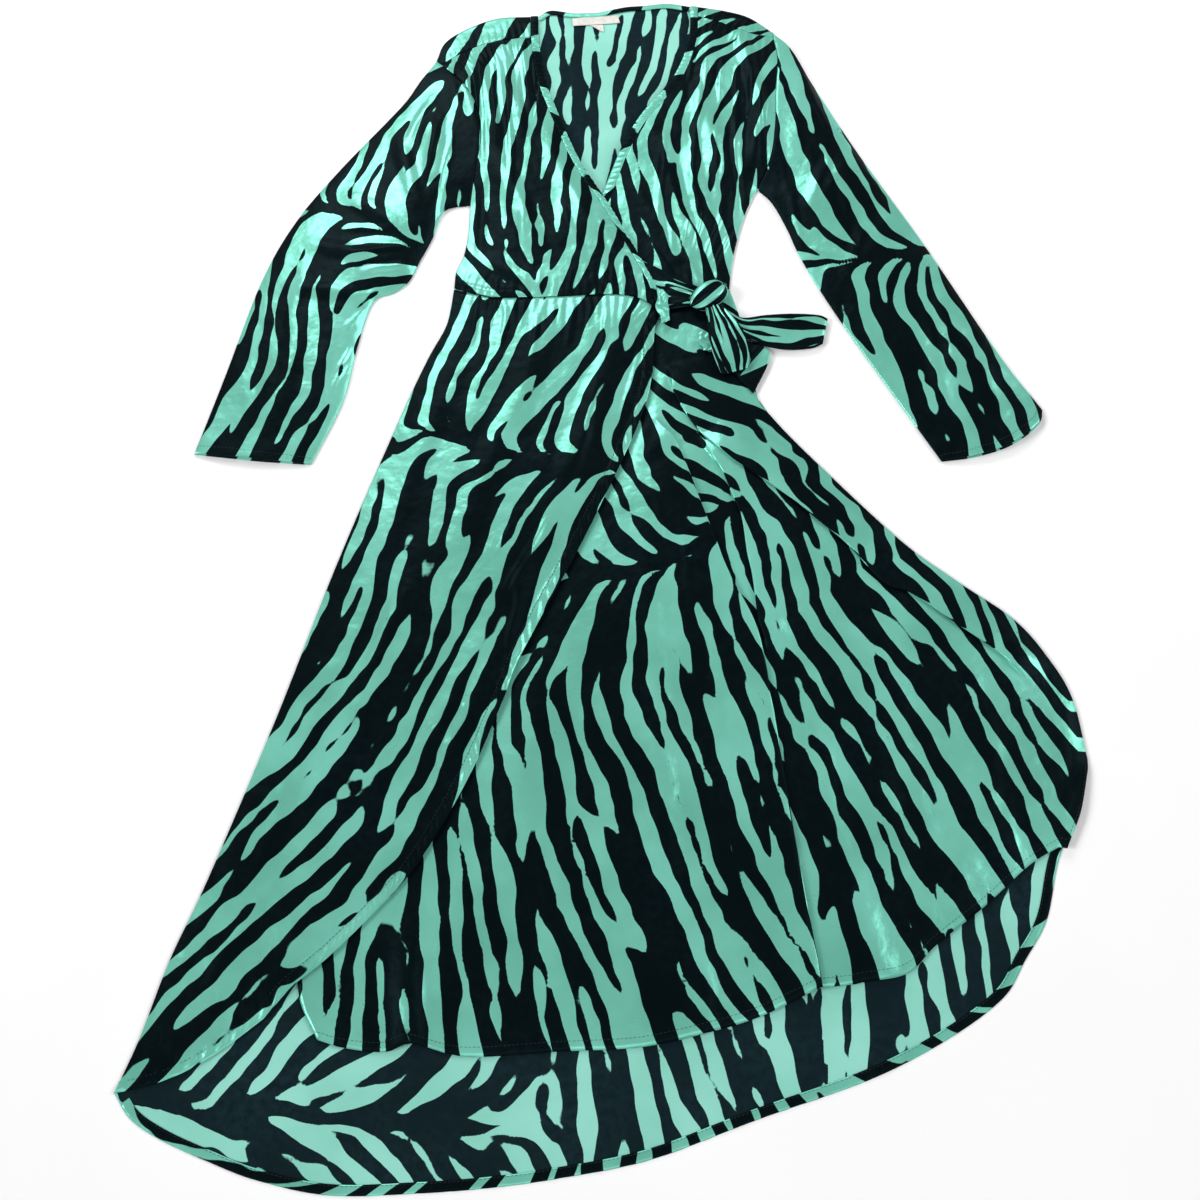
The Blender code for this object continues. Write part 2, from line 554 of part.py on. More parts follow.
# ---------------------------------------------------------------- sleeves
def sleeve(name, outer, inner, seam, cuff, body_height, cloth, flip):
    """A flattened tube: flat underneath, full on top, folded along both edges."""
    rows = np.linspace(0, 1, 17)
    top = np.s_[SLEEVE_UNDER + 2:SLEEVE_UNDER + 2 + SLEEVE_OVER]
    widths = np.linalg.norm(point_at(outer, rows) - point_at(inner, rows), axis=1)
    ring = []
    low, high = WALL / 2, WALL / 2 + 2 * BEND
    for v, width in zip(rows, widths):
        edge = (BEND + WALL / 2) / width
        tip = WALL / 2 / width
        middle = tip + (edge - tip) * 0.15
        lower = np.linspace(1 - edge, edge, SLEEVE_UNDER)
        upper = np.linspace(edge, 1 - edge, SLEEVE_OVER)
        across = np.concatenate([lower, (middle, middle), upper, (1 - middle, 1 - middle)])
        turn = BEND * math.sin(math.radians(35))
        level = low + BEND
        heights = np.concatenate([np.full(SLEEVE_UNDER, low), (level - turn, level + turn),
                                  np.full(SLEEVE_OVER, high), (level + turn, level - turn)])
        xy = patch(seam, cuff, outer, inner, across, (v,))[0]
        full = np.interp(v, *np.array(SLEEVE_FULLNESS).T)
        share = (upper - edge) / (1 - 2 * edge)
        arch = full * np.sin(math.pi * np.clip(share, 0, 1)) ** 0.75
        arch += folds("sleeve_" + name[7], xy[top]) * np.sin(math.pi * np.clip(share, 0, 1))
        own = high + arch
        met = np.maximum(body_height(xy[top]), high)
        heights[top] = met + (own - met) * ease(v / 0.16)
        ring.append(with_height(xy, heights))
    ring = np.array(ring)
    for edge, inside in ((0, 1), (-1, -2)):
        way = ring[inside, :, :2] - ring[edge, :, :2]
        ring[edge, :, :2] += SEAM * way / np.linalg.norm(way, axis=1)[:, None]
    add_sheet(name, ring[:, ::-1] if flip else ring, cloth, closed=True)


def sleeves(cloth):
    sleeve("sleeve_right", LINE["sleeve_out_r"], LINE["sleeve_in_r"], armhole("r"),
           LINE["cuff_r"], over_height, cloth, False)
    sleeve("sleeve_left", LINE["sleeve_out_l"], LINE["sleeve_in_l"], armhole("l"),
           LINE["cuff_l"], under_height, cloth, True)


# ---------------------------------------------------------------- skirt
def skirt_back(cloth, hem_cloth):
    add_flat("skirt_back", np.vstack([
        run(LINE["waist_back"], 8), run(LINE["skirt_side_l"], 26),
        run(LINE["hem_back"][::-1], 60), run(LINE["skirt_side_r"][::-1], 18)]), cloth)
    along = np.linspace(0.035, 0.965, 50)
    outer, inner = beside(LINE["hem_back"], 1.0), beside(LINE["hem_back"], HEM)
    grid = np.stack([point_at(inner, along), point_at(outer, along)])
    add_sheet("hem_back", with_height(grid, REST), hem_cloth)


def skirt_front_right(cloth):
    top = LINE["waist_over"]
    meet = share_near(top, neck_rims()[0][-1])
    across = np.append(np.linspace(0, meet, FRONT_COLUMNS), 1)
    grid = patch(top, LINE["wrap_hem"], LINE["skirt_side_r"], LINE["wrap"], across,
                 np.linspace(0, 1, 22))
    grid = inset(grid, SEAM)
    add_sheet("skirt_front_right", with_height(grid, over_height(grid)), cloth)


def pleat_section(turn, depth):
    """Across a pleat with its right side on top: (sideways, up) from its upper end."""
    angle = max(turn, 1e-3) * math.pi
    radius = math.pi * BEND / angle
    bends = np.array((0, 1, 2, 3)) / 3 * angle
    first = np.stack([radius * np.sin(bends), radius * (1 - np.cos(bends))], -1)
    back = depth * np.array((math.cos(angle), math.sin(angle)))
    section = np.vstack([first, 2 * first[-1] - first[::-1] + back])
    section[:, 0] -= section[-1, 0]
    return section


def stations(line, rows):
    """Shares of a line's length, with the same steps near the waist on every line."""
    near, share = NEAR_WAIST
    whole = lengths(line)[-1]
    beyond = near + (whole - near) * (rows - share) / (1 - share)
    return np.where(rows < share, near * rows / share, beyond) / whole


def pleat(name, side, edge, waist, rows):
    """One pleat, row by row: its points in plan, their rise, and how far it reaches back."""
    start = point_at(waist, PLEAT_TOPS[name])
    edge = smooth([tuple(start), *edge])
    spots = point_at(edge, stations(edge, rows))
    along = tangents(spots)
    ways = np.stack([-along[:, 1], along[:, 0]], -1)
    waist_way = point_at(waist, PLEAT_TOPS[name] + 0.02) - start
    waist_way /= np.linalg.norm(waist_way)
    share = ease(np.arange(len(rows)) / 3)[:, None]
    ways = waist_way * (1 - share) + ways * share
    ways /= np.linalg.norm(ways, axis=1)[:, None]
    folding = np.array(PLEAT_FOLDING[name])
    away = stations(edge, rows) * lengths(edge)[-1]
    plan, lift, reach = [], [], []
    for spot, way, gone in zip(spots, ways, away):
        section = pleat_section(*(np.interp(gone, folding[:, 0], folding[:, k]) for k in (1, 2)))
        reach.append(section[:, 0].max())
        section[:, 0] -= section[:, 0].min()
        if side == "left":
            section = section[::-1] * (-1, 1)
        plan.append(spot + section[:, :1] * way)
        lift.append(section[:, 1])
    return np.array(plan), np.array(lift), np.array(reach)


def beside_pleat(points, edge, top, reach):
    """How much of a pleat's height is left at points beside its upper end."""
    apart, place = nearest(edge, points)
    rows = np.arange(len(edge))
    away = np.abs(apart) - np.interp(place, rows, reach) - 6
    return np.interp(place, rows, top) * (1 - ease(away / PLEAT_FADE))


def skirt_front_left(cloth):
    rows = np.linspace(0, 1, 24)
    waist = LINE["waist_under"]
    counts = (11, 2, 7, 5)
    hems = (LINE["hem_under"], None, LINE["hem_side"], LINE["hem_corner"])
    pleats = [pleat(*row, waist, rows) for row in PLEATS]
    side = LINE["skirt_side_l"]
    left = point_at(LINE["under_edge"], stations(LINE["under_edge"], rows))
    plans, lifts, raised = [], [], []
    for k, (count, hem) in enumerate(zip(counts, hems)):
        last = k == len(pleats)
        right = point_at(side, stations(side, rows)) if last else pleats[k][0][:, 0]
        top = cut(waist, share_near(waist, left[0]), share_near(waist, right[0]))
        top = pin(top, left[0], right[0])
        bottom = np.linspace(left[-1], right[-1], SAMPLES)
        if hem is not None:
            bottom = pin(hem, left[-1], right[-1])
        across = np.linspace(0, 1, count + 1)
        strip = patch_rows(top, bottom, left, right, across)
        strip = strip[:, (k > 0):(count + 1 if last else count)]
        lift = sum((beside_pleat(strip, *one) for one in raised), np.zeros(strip.shape[:2]))
        if last:
            lift = lift * ease(np.linalg.norm(strip - right[:, None], axis=-1) / 30)
        elif PLEATS[k][1] == "left":
            plan, rising, reach = pleats[k]
            room = ease((distance(OVER_RIM, strip) - 3) / 22)
            lift = lift + room * beside_pleat(strip, plan[:, 0], rising[:, 0], reach)
        plans.append(strip)
        lifts.append(lift)
        if last:
            break
        plan, rising, reach = pleats[k]
        carried = sum((beside_pleat(plan, *one) for one in raised), np.zeros(plan.shape[:2]))
        plans.append(plan)
        lifts.append(rising + carried)
        left = plan[:, -1]
        if PLEATS[k][1] == "right":
            raised.append((plan[:, -1], rising[:, -1], reach))
    grid = np.concatenate(plans, axis=1)
    z = under_height(grid) + np.concatenate(lifts, axis=1)
    add_sheet("skirt_front_left", with_height(inset(grid, SEAM), z), cloth)


def patch_rows(top, bottom, left, right, across):
    """A Coons patch whose side columns are given row by row."""
    v = np.linspace(0, 1, len(left))[:, None, None]
    u = np.asarray(across)[None, :, None]
    corners = ((1 - v) * ((1 - u) * left[0] + u * right[0])
               + v * ((1 - u) * left[-1] + u * right[-1]))
    return ((1 - v) * point_at(top, across)[None] + v * point_at(bottom, across)[None]
            + (1 - u) * left[:, None] + u * right[:, None] - corners)


# ---------------------------------------------------------------- bow and label
def in_knot(points, margin):
    """How far out points lie in the knot's oval, grown by a margin; 1 is on it."""
    turn = math.radians(KNOT_TURN)
    x, y, z = np.moveaxis(points - np.array(KNOT_CENTRE), -1, 0)
    along, across = x * math.cos(turn) + y * math.sin(turn), y * math.cos(turn) - x * math.sin(turn)
    long, wide, high = np.array(KNOT_RADII) + margin
    return (along / long) ** 2 + (across / wide) ** 2 + (z / high) ** 2


def stop_at_knot(inner, outer):
    """Where the cloth from outer points towards inner ones meets the knot."""
    margin = WALL / 2 + GAP + 0.2
    near, far = np.ones(len(inner)), np.zeros(len(inner))
    for _ in range(24):
        middle = (near + far) / 2
        inside = in_knot(outer + (inner - outer) * middle[:, None], margin) < 1
        near, far = np.where(inside, middle, near), np.where(inside, far, middle)
    return outer + (inner - outer) * far[:, None]


def loop_sheet(axis, table, gathers, depth):
    """A strip of cloth that runs out along an axis, turns over and runs back."""
    start, end = np.array(axis, float)
    way = (end - start) / np.linalg.norm(end - start)
    across = np.array((-way[1], way[0]))
    side = np.linspace(-0.5, 0.5, 6)
    points = []
    rows = through(np.array(table, float), 8)
    kept = np.linspace(0, len(rows) - 1, LOOP_ROWS).round().astype(int)
    for share, z, width, sideways in rows[kept]:
        plan = start + (end - start) * share + (side[:, None] * width + sideways) * across
        ripple = depth * (1 - share) * np.cos(2 * math.pi * gathers * side)
        points.append(with_height(plan, z + ripple))
    points = np.array(points)
    points[0] = stop_at_knot(points[0], points[1])
    points[-1] = stop_at_knot(points[-1], points[-2])
    return points


def bow(cloth):
    add_sheet("tie_loop_side", loop_sheet(LOOP_SIDE_AXIS, LOOP_SIDE, *LOOP_SIDE_GATHERS), cloth)
    add_sheet("tie_loop_low", loop_sheet(LOOP_LOW_AXIS, LOOP_LOW, *LOOP_LOW_GATHERS), cloth)
    strap(cloth)
    tail(cloth)
    knot(cloth)


def strap(cloth):
    """The gathered start of the tie, from the right front's edge to the knot."""
    across, down = np.linspace(0, 1, 9), np.linspace(0, 1, 9)
    rim = beside(cut(LINE["neck_edge_r"], *STRAP_START), 2 * SEAM)
    end = np.linspace(*STRAP_END, SAMPLES)
    grid = patch(np.linspace(rim[0], end[0], SAMPLES), np.linspace(rim[-1], end[-1], SAMPLES),
                 rim, end, across, down)
    pleats = STRAP_PLEATS * np.cos(5 * math.pi * down)[:, None] * rise(across)
    points = with_height(grid, under_height(grid) + LIFT + STRAP_PLEATS * (1 + 3 * across) + pleats)
    points[:, -1] = stop_at_knot(points[:, -1], points[:, -3])
    points[:, -2] = (points[:, -1] + points[:, -3]) / 2
    add_sheet("tie_strap", points, cloth)


def tail(cloth):
    """The tie's free end, cut at a slant, beneath the bow."""
    across = np.linspace(0, 1, 7)
    grid = patch(np.linspace(*TAIL_TOP, SAMPLES),
                 np.linspace(TAIL_LEFT[-1], TAIL_END[-1], SAMPLES),
                 np.linspace(*TAIL_LEFT, SAMPLES), smooth(TAIL_END), across, np.linspace(0, 1, 6))
    add_sheet("tie_tail", with_height(grid, TAIL_HEIGHT - TAIL_DROP * across ** 2), cloth)


def knot(cloth):
    """The knot: a soft oval crossed by the folds of the tie."""
    mesh = bmesh.new()
    bmesh.ops.create_uvsphere(mesh, u_segments=20, v_segments=12, radius=1.0)
    turn = math.radians(KNOT_TURN)
    centre = np.array(KNOT_CENTRE) - (*ORIGIN, 0.0)
    for vert in mesh.verts:
        groove = 1 - 0.03 * (1 - math.cos(9 * vert.co.x))
        x, y, z = np.array(vert.co) * KNOT_RADII * groove
        vert.co = (centre + (x * math.cos(turn) - y * math.sin(turn),
                             x * math.sin(turn) + y * math.cos(turn), z)) * MM
    add_object("tie_knot", mesh, cloth)


def label(paper):
    """Woven label below the back neck binding, and a small slanted tab under it."""
    for name, outline, columns in (("label", LABEL, 4), ("label_tab", LABEL_TAB, 2)):
        a, b, c, d = np.array(outline, float)
        grid = patch(np.stack([a, b]), np.stack([d, c]), np.stack([a, d]), np.stack([b, c]),
                     np.linspace(0, 1, columns), (0.0, 1.0))
        add_sheet(name, with_height(grid, REST), paper)


# ---------------------------------------------------------------- the dress
def satin(name, colour, roughness):
    material = bpy.data.materials.new(name)
    material.use_nodes = True
    shader = material.node_tree.nodes["Principled BSDF"]
    shader.inputs["Base Color"].default_value = (*colour, 1.0)
    shader.inputs["Roughness"].default_value = roughness
    shader.inputs["Metallic"].default_value = 0.0
    return material


def main():
    for old in list(bpy.data.objects):
        bpy.data.objects.remove(old, do_unlink=True)
    dress = bpy.data.collections.new("wrap_dress")
    bpy.context.scene.collection.children.link(dress)
    face = satin("satin_face", (0.20, 0.55, 0.38), 0.35)
    reverse = satin("satin_reverse", (0.24, 0.50, 0.38), 0.60)
    paper = satin("label_cloth", (0.85, 0.84, 0.82), 0.80)
    bodice_back(reverse)
    bodice_fronts(face)
    neck_bindings(face)
    sleeves(face)
    skirt_back(reverse, face)
    skirt_front_right(face)
    skirt_front_left(face)
    bow(face)
    label(paper)


main()
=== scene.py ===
"""Looks of the satin wrap dress, laid flat: printed satin shells, bindings, bow, stitching, label.

The tables are in millimetres, as the part's are: X across the dress, Y from hem to neck, Z up.
"""
import math

import bmesh
import bpy
import numpy as np
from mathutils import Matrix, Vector


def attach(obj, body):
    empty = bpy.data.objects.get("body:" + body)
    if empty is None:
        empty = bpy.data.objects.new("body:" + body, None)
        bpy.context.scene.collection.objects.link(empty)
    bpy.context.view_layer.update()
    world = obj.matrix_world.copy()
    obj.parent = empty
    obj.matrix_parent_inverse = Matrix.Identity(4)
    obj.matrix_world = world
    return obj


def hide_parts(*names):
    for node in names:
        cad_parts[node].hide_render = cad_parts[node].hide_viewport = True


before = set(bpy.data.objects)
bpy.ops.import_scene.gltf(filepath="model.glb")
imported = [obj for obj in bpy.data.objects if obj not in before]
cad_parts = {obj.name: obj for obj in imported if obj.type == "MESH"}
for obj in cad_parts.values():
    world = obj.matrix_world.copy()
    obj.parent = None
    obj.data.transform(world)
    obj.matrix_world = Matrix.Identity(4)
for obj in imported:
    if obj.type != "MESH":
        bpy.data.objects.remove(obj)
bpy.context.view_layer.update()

# ---- sizes shared with the part
MM = 0.001
WALL, GAP, BEND = 1.2, 0.3, 1.1
REST = WALL + GAP + WALL / 2
LIFT = WALL + GAP + 0.9
REACH = 62.0
NECK_BAND, BACK_BAND, HEM = 10.0, 5.5, 11.0
ORIGIN = (19.0, 100.0)
SAMPLES = 240
KNOT_STEPS = 24                     # points between two knots of a smooth line
CHUNK = 4096                        # points that are measured against a line at one time

CORNERS = {
    "neck_r": (-80, 803), "neck_l": (117, 819),
    "tip_r": (-209, 733), "tip_l": (223, 777),
    "yoke_arm_r": (-203.2, 727.2), "yoke_arm_l": (222.4, 770.5),
    "arm_r": (-160, 517), "arm_l": (194, 540),
    "waist_r": (-176, 398), "waist_l": (156, 398),
    "cross": (78, 360), "tuck": (-90, 380),
    "hem_r": (-488, -528), "hem_l": (526, -184),
    "wrap_turn": (-341, -454), "under_turn": (-287, -476),
    "cuff_out_r": (-470, 179), "cuff_in_r": (-334, 166),
    "cuff_out_l": (518, 236), "cuff_in_l": (395, 170),
}
LINES = {
    "neck_back": ["neck_r", (-64, 813), (-36, 809), (-18, 809), (-2, 810), (18, 815), (36, 819),
                  (60, 821), (88, 824), "neck_l"],
    "shoulder_r": ["tip_r", (-198, 762), (-168, 784), (-127, 800), "neck_r"],
    "shoulder_l": ["neck_l", (158, 812), (192, 801), "tip_l"],
    "yoke_r": ["yoke_arm_r", (-157, 751), (-121, 762), (-88, 768)],
    "yoke_l": [(109, 803), (149, 792), (187, 776), "yoke_arm_l"],
    "armhole_r": ["yoke_arm_r", (-180, 700), (-156, 660), (-148, 614), (-154, 567), "arm_r"],
    "armhole_l": ["yoke_arm_l", (226, 733), (222, 682), (219, 629), (211, 580), "arm_l"],
    "side_r": ["arm_r", (-161, 475), (-166, 443), (-174, 422), "waist_r"],
    "side_l": ["arm_l", (178, 503), (166, 461), (159, 426), "waist_l"],
    "neck_edge_r": ["neck_r", (-78, 760), (-70, 705), (-56, 660), (-25, 580), (15, 507),
                    (50, 437), (69, 394), "cross"],
    "neck_edge_l": ["neck_l", (113, 760), (92, 699), (53, 646), (28, 599), (12, 558),
                    (-4, 516), (-31, 461), (-60, 415), "tuck"],
    "waist_over": ["waist_r", (-147, 389), (-118, 383), (-48, 385), (6, 387), (48, 382), "cross"],
    "waist_under": ["tuck", (30, 382), "waist_l"],
    "waist_back": ["waist_r", (0, 382), "waist_l"],
    "skirt_side_r": ["waist_r", (-183, 350), (-204, 303), (-234, 224), (-295, 48),
                     (-353, -139), (-412, -313), (-444, -396), (-468, -476), "hem_r"],
    "skirt_side_l": ["waist_l", (170, 350), (181, 300), (184, 255), (203, 224), (246, 173),
                     (339, 73), (398, 24), (461, -24), (496, -71), (517, -117), "hem_l"],
    "wrap": ["cross", (66, 345), (61, 276), (43, 211), (-14, 81), (-83, -59), (-105, -117),
             (-135, -192), (-165, -252), (-198, -306), (-232, -345), (-279, -393), (-316, -424),
             "wrap_turn"],
    "wrap_hem": ["hem_r", (-452, -520), (-416, -506), (-380, -484), "wrap_turn"],
    "under_edge": ["tuck", (-140, 220), (-205, 0), (-265, -190), (-308, -370), (-309, -430),
                   "under_turn"],
    "hem_back": ["hem_r", (-469, -553), (-436, -573), (-390, -592), (-339, -610), (-266, -624),
                 (-177, -622), (-108, -617), (-45, -609), (50, -591), (158, -553), (272, -515),
                 (353, -476), (413, -435), (440, -396), (466, -355), (485, -292), (515, -232),
                 "hem_l"],
    "hem_under": ["under_turn", (-259, -484), (-218, -488), (-191, -480), (-152, -490),
                  (-121, -493), (-41, -488), (41, -484), (102, -472), (163, -455), (228, -426)],
    "hem_side": [(262, -421), (311, -412), (344, -384), (395, -349), (442, -312), (472, -297)],
    "hem_corner": [(484, -280), (508, -242), (523, -200), "hem_l"],
    "sleeve_out_r": ["tip_r", (-227, 702), (-253, 660), (-324, 567), (-373, 493), (-409, 409),
                     (-443, 279), "cuff_out_r"],
    "sleeve_in_r": ["arm_r", (-192, 508), (-205, 469), (-219, 437), (-231, 409), (-249, 393),
                    (-266, 387), (-277, 370), (-289, 317), (-302, 246), "cuff_in_r"],
    "sleeve_out_l": ["tip_l", (245, 749), (279, 678), (325, 587), (397, 457), (475, 306),
                     "cuff_out_l"],
    "sleeve_in_l": ["arm_l", (212, 520), (229, 483), (246, 437), (288, 354), (365, 221),
                    "cuff_in_l"],
    "cuff_r": ["cuff_out_r", (-435, 175), (-391, 170), "cuff_in_r"],
    "cuff_l": ["cuff_out_l", (510, 215), (476, 190), (435, 176), "cuff_in_l"],
}
# How full the layers are: at y, the under layer, the over layer
FULLNESS = [
    (830, 2.5, 2.5), (720, 8.0, 8.0), (610, 10.0, 10.0), (500, 8.0, 9.0), (420, 4.5, 6.0),
    (380, 2.5, 4.0), (300, 3.0, 4.5), (100, 4.5, 5.5), (-150, 5.5, 5.5), (-350, 4.5, 4.0),
    (-500, 2.5, 2.0),
]
# Beside the edge of the other layer: where a layer starts to rise, and over how far
UNDER_WRAP, OVER_UNDERLAP = (6.0, 70.0), (-48.0, 42.0)
# Share of a layer's fullness at a hem or wrap edge, and how far in it is whole
AT_HEM, AT_WRAP = (0.35, 60.0), (0.30, 55.0)
# The neck bands: waves along them, their height; ends of their inner edges at the waist
RIGHT_BAND_GATHERS, LEFT_BAND_GATHERS = (24, 0.7), (9, 0.3)
RIGHT_BAND_STOP, LEFT_BAND_SHARE = 13, 0.05
# Large folds of each layer: from (x, y), to (x, y), height, half of its width
FOLDS = {
    "over": [
        (-186, 742, -152, 610, 4.0, 14), (-158, 758, -128, 590, 5.0, 14),
        (-130, 768, -96, 610, 4.5, 13), (-104, 772, -84, 640, 4.0, 12),
        (-136, 600, -70, 430, 4.0, 22), (-70, 620, 10, 430, 4.5, 20), (-20, 550, 50, 400, 3.0, 16),
        (-166, 450, -60, 395, 2.5, 16), (-150, 370, -250, 60, 3.0, 26),
        (-60, 350, -170, 40, 3.5, 26), (20, 330, -60, 90, 3.0, 22), (-190, 60, -330, -290, 3.0, 30),
        (-100, 20, -230, -290, 3.5, 26), (-60, 40, -112, -130, 4.0, 18),
        (-250, 30, -400, -350, 2.5, 28),
    ],
    "under": [
        (176, 800, 204, 640, 5.0, 15), (204, 700, 186, 530, 4.5, 14), (150, 800, 118, 640, 4.0, 16),
        (128, 690, 150, 540, 4.0, 20), (70, 620, 118, 420, 4.5, 18), (110, 600, 134, 420, 4.0, 15),
        (160, 560, 146, 430, 3.5, 14), (30, 560, 96, 430, 3.0, 14),
        (-205, -330, -190, -520, 6.0, 24), (44, 170, 78, -320, 2.5, 22),
        (-60, -60, -110, -340, 3.0, 34), (-40, -350, -50, -520, 2.5, 26),
        (96, -330, 110, -510, 2.5, 26), (290, -120, 318, -330, 3.0, 34),
        (262, -300, 300, -450, 2.5, 22), (400, -180, 440, -330, 2.5, 26),
    ],
    "sleeve_r": [
        (-215, 690, -205, 545, 5.0, 20), (-262, 640, -222, 505, 4.5, 16),
        (-330, 540, -230, 470, 4.0, 18), (-375, 465, -255, 430, 3.5, 16),
        (-395, 400, -280, 385, 3.5, 14), (-355, 360, -385, 200, 3.0, 20),
    ],
    "sleeve_l": [
        (250, 700, 235, 560, 4.0, 18), (300, 600, 250, 500, 3.5, 16), (345, 520, 292, 400, 3.0, 18),
        (390, 400, 405, 240, 3.0, 20), (440, 330, 470, 220, 2.5, 16),
    ],
}
# Folded pleats: name, the side to which the cloth folds, the fold's line below the waist
PLEATS = [
    ("waist_pleat", "left", [(28, 330), (56, 262), (93, 180), (118, 107), (147, 25),
                             (174, -37), (187, -119), (205, -266), (228, -424)]),
    ("small_pleat", "right", [(46, 325), (66, 272), (90, 225), (116, 188), (138, 160),
                              (150, 128), (161, 96), (166, 53), (171, 24), (178, -47),
                              (200, -160), (228, -290), (262, -421)]),
    ("bow_pleat", "right", [(64, 320), (84, 262), (108, 216), (139, 180), (173, 154),
                            (212, 125), (245, 96), (280, 63), (317, 18), (349, 4),
                            (397, -33), (446, -72), (474, -118), (490, -170), (493, -225),
                            (484, -280)]),
]
# Where they start, as shares of the waist
PLEAT_TOPS = {"waist_pleat": 0.44, "small_pleat": 0.50, "bow_pleat": 0.57}
# Distance from the waist, how far folded (1 is flat on itself), depth
PLEAT_FOLDING = {
    "waist_pleat": [(0, 0.0, 3), (160, 0.0, 3), (214, 1.0, 4), (292, 1.0, 18), (850, 1.0, 22)],
    "small_pleat": [(0, 0.0, 1), (205, 0.0, 1), (250, 1.0, 2), (300, 1.0, 4), (340, 1.0, 9),
                    (380, 1.0, 8), (430, 1.0, 2), (480, 0.0, 1), (900, 0.0, 1)],
    "bow_pleat": [(0, 0.0, 2), (95, 0.0, 2), (145, 1.0, 3), (225, 1.0, 16), (520, 1.0, 20),
                  (620, 1.0, 2), (665, 0.0, 2), (900, 0.0, 2)],
}
PLEAT_TURN, PLEAT_FADE = 93, 60.0   # how far down pleats turn off the waist; how wide they lift
STRAP_PLEATS = 1.1
NEAR_WAIST = (300.0, 0.42)          # this length below the waist has this share of the rows
# Share of the sleeve's length, height
SLEEVE_FULLNESS = [(0.0, 9.0), (0.2, 12.0), (0.5, 10.0), (0.8, 8.0), (1.0, 6.5)]
# Loops of the bow: share along the axis, height, width, how far sideways
LOOP_SIDE_AXIS = ((143, 366), (268, 338))
LOOP_SIDE = [
    (0.00, 5.8, 12, 0), (0.12, 5.5, 15, -8), (0.24, 5.0, 22, -15), (0.44, 3.5, 38, -14),
    (0.68, 2.0, 46, -9), (0.90, 1.4, 43, -2), (0.985, 2.0, 35, 1), (1.00, 3.9, 32, 1),
    (0.985, 5.8, 35, 1), (0.90, 7.2, 43, -2), (0.68, 8.8, 46, -9), (0.44, 9.6, 38, -14),
    (0.24, 8.6, 22, -15), (0.12, 8.0, 15, -8), (0.00, 8.2, 12, 0),
]
LOOP_LOW_AXIS = ((135, 367), (160, 283))
LOOP_LOW = [
    (0.00, 11.0, 16, 0), (0.16, 10.9, 22, 1), (0.36, 10.3, 34, 2), (0.62, 8.9, 43, 3),
    (0.86, 8.0, 40, 2), (0.97, 8.2, 34, 0), (1.00, 10.0, 31, 0), (0.96, 11.9, 34, 0),
    (0.84, 13.4, 40, 2), (0.60, 15.6, 44, 3), (0.36, 16.8, 38, 2), (0.16, 17.0, 27, 1),
    (0.00, 16.8, 20, 0),
]
KNOT_CENTRE, KNOT_RADII, KNOT_TURN = (130, 383, 13.9), (24, 16.5, 9.0), 37.0
STRAP_START, STRAP_END = (0.83, 0.985), ((124, 392), (118, 372))    # shares of the neck edge; end
TAIL_TOP = ((150, 336), (190, 320.5))
TAIL_LEFT = ((150, 336), (150, 292))
TAIL_END = ((190, 320.5), (200, 313), (199, 296), (180, 256))
TAIL_HEIGHT, TAIL_DROP = 5.7, 1.2
TAIL_ROLL = ((140, 250), (201, 325))        # a black roll lies along this line
# Name, corners, height, how crumpled
LOOSE_FOLDS = [
    ("tie_fold", ((66, 396), (81, 388), (84, 350), (70, 345)), 13.0, 0.9),
    ("tie_corner", ((115, 337), (128, 337), (133, 312), (120, 311)), 9.2, 0.25),
]
LABEL = ((-36, 800.4), (23, 805.4), (26, 793.2), (-35, 788.4))
LABEL_TAB = ((-12, 789.3), (4, 790.6), (5, 779), (-1, 781.5))

# ---- sizes of the shells
CLOTH, HEM_CLOTH, LABEL_CLOTH = 0.5, 0.4, 0.35      # thickness of the shells
EDGE = 0.12                         # how far a shell stops short of its seam
BACK_BODICE_EDGE, BACK_SKIRT_EDGE = 0.6, 0.4
BOTTOM = CLOTH / 2 + 0.05           # height of the cloth that lies on the floor
SEAM_DIP, SEAM_HALF = 0.8, 3.0      # how deep cloth dips at a seam, and how far beside it
# Points of each piece's grid, across and down
GRIDS = {
    "back_bodice": (120, 90), "right_bodice": (110, 150), "left_bodice": (120, 150),
    "yoke": (60, 16), "back_band": (130, 7), "back_hem": (480, 7), "right_skirt": (180, 200),
    "strap": (50, 70), "tail": (36, 50), "loose_fold": (24, 40), "label": (40, 12),
}
LEFT_SKIRT_COLUMNS, LEFT_SKIRT_ROWS = (102, 10, 58, 36), 196    # beside and between the pleats
BACK_SKIRT_COLUMNS, BACK_SKIRT_ROWS = 310, (14, 60)     # rows where it is covered, and below that
COVERED = 0.72
SLEEVE_ROWS, SLEEVE_RING = 140, (20, 104, 5)    # points below, on top, round each edge
LOOP_COLUMNS, LOOP_STEPS, KNOT_AROUND, KNOT_ALONG = 33, 12, 48, 40

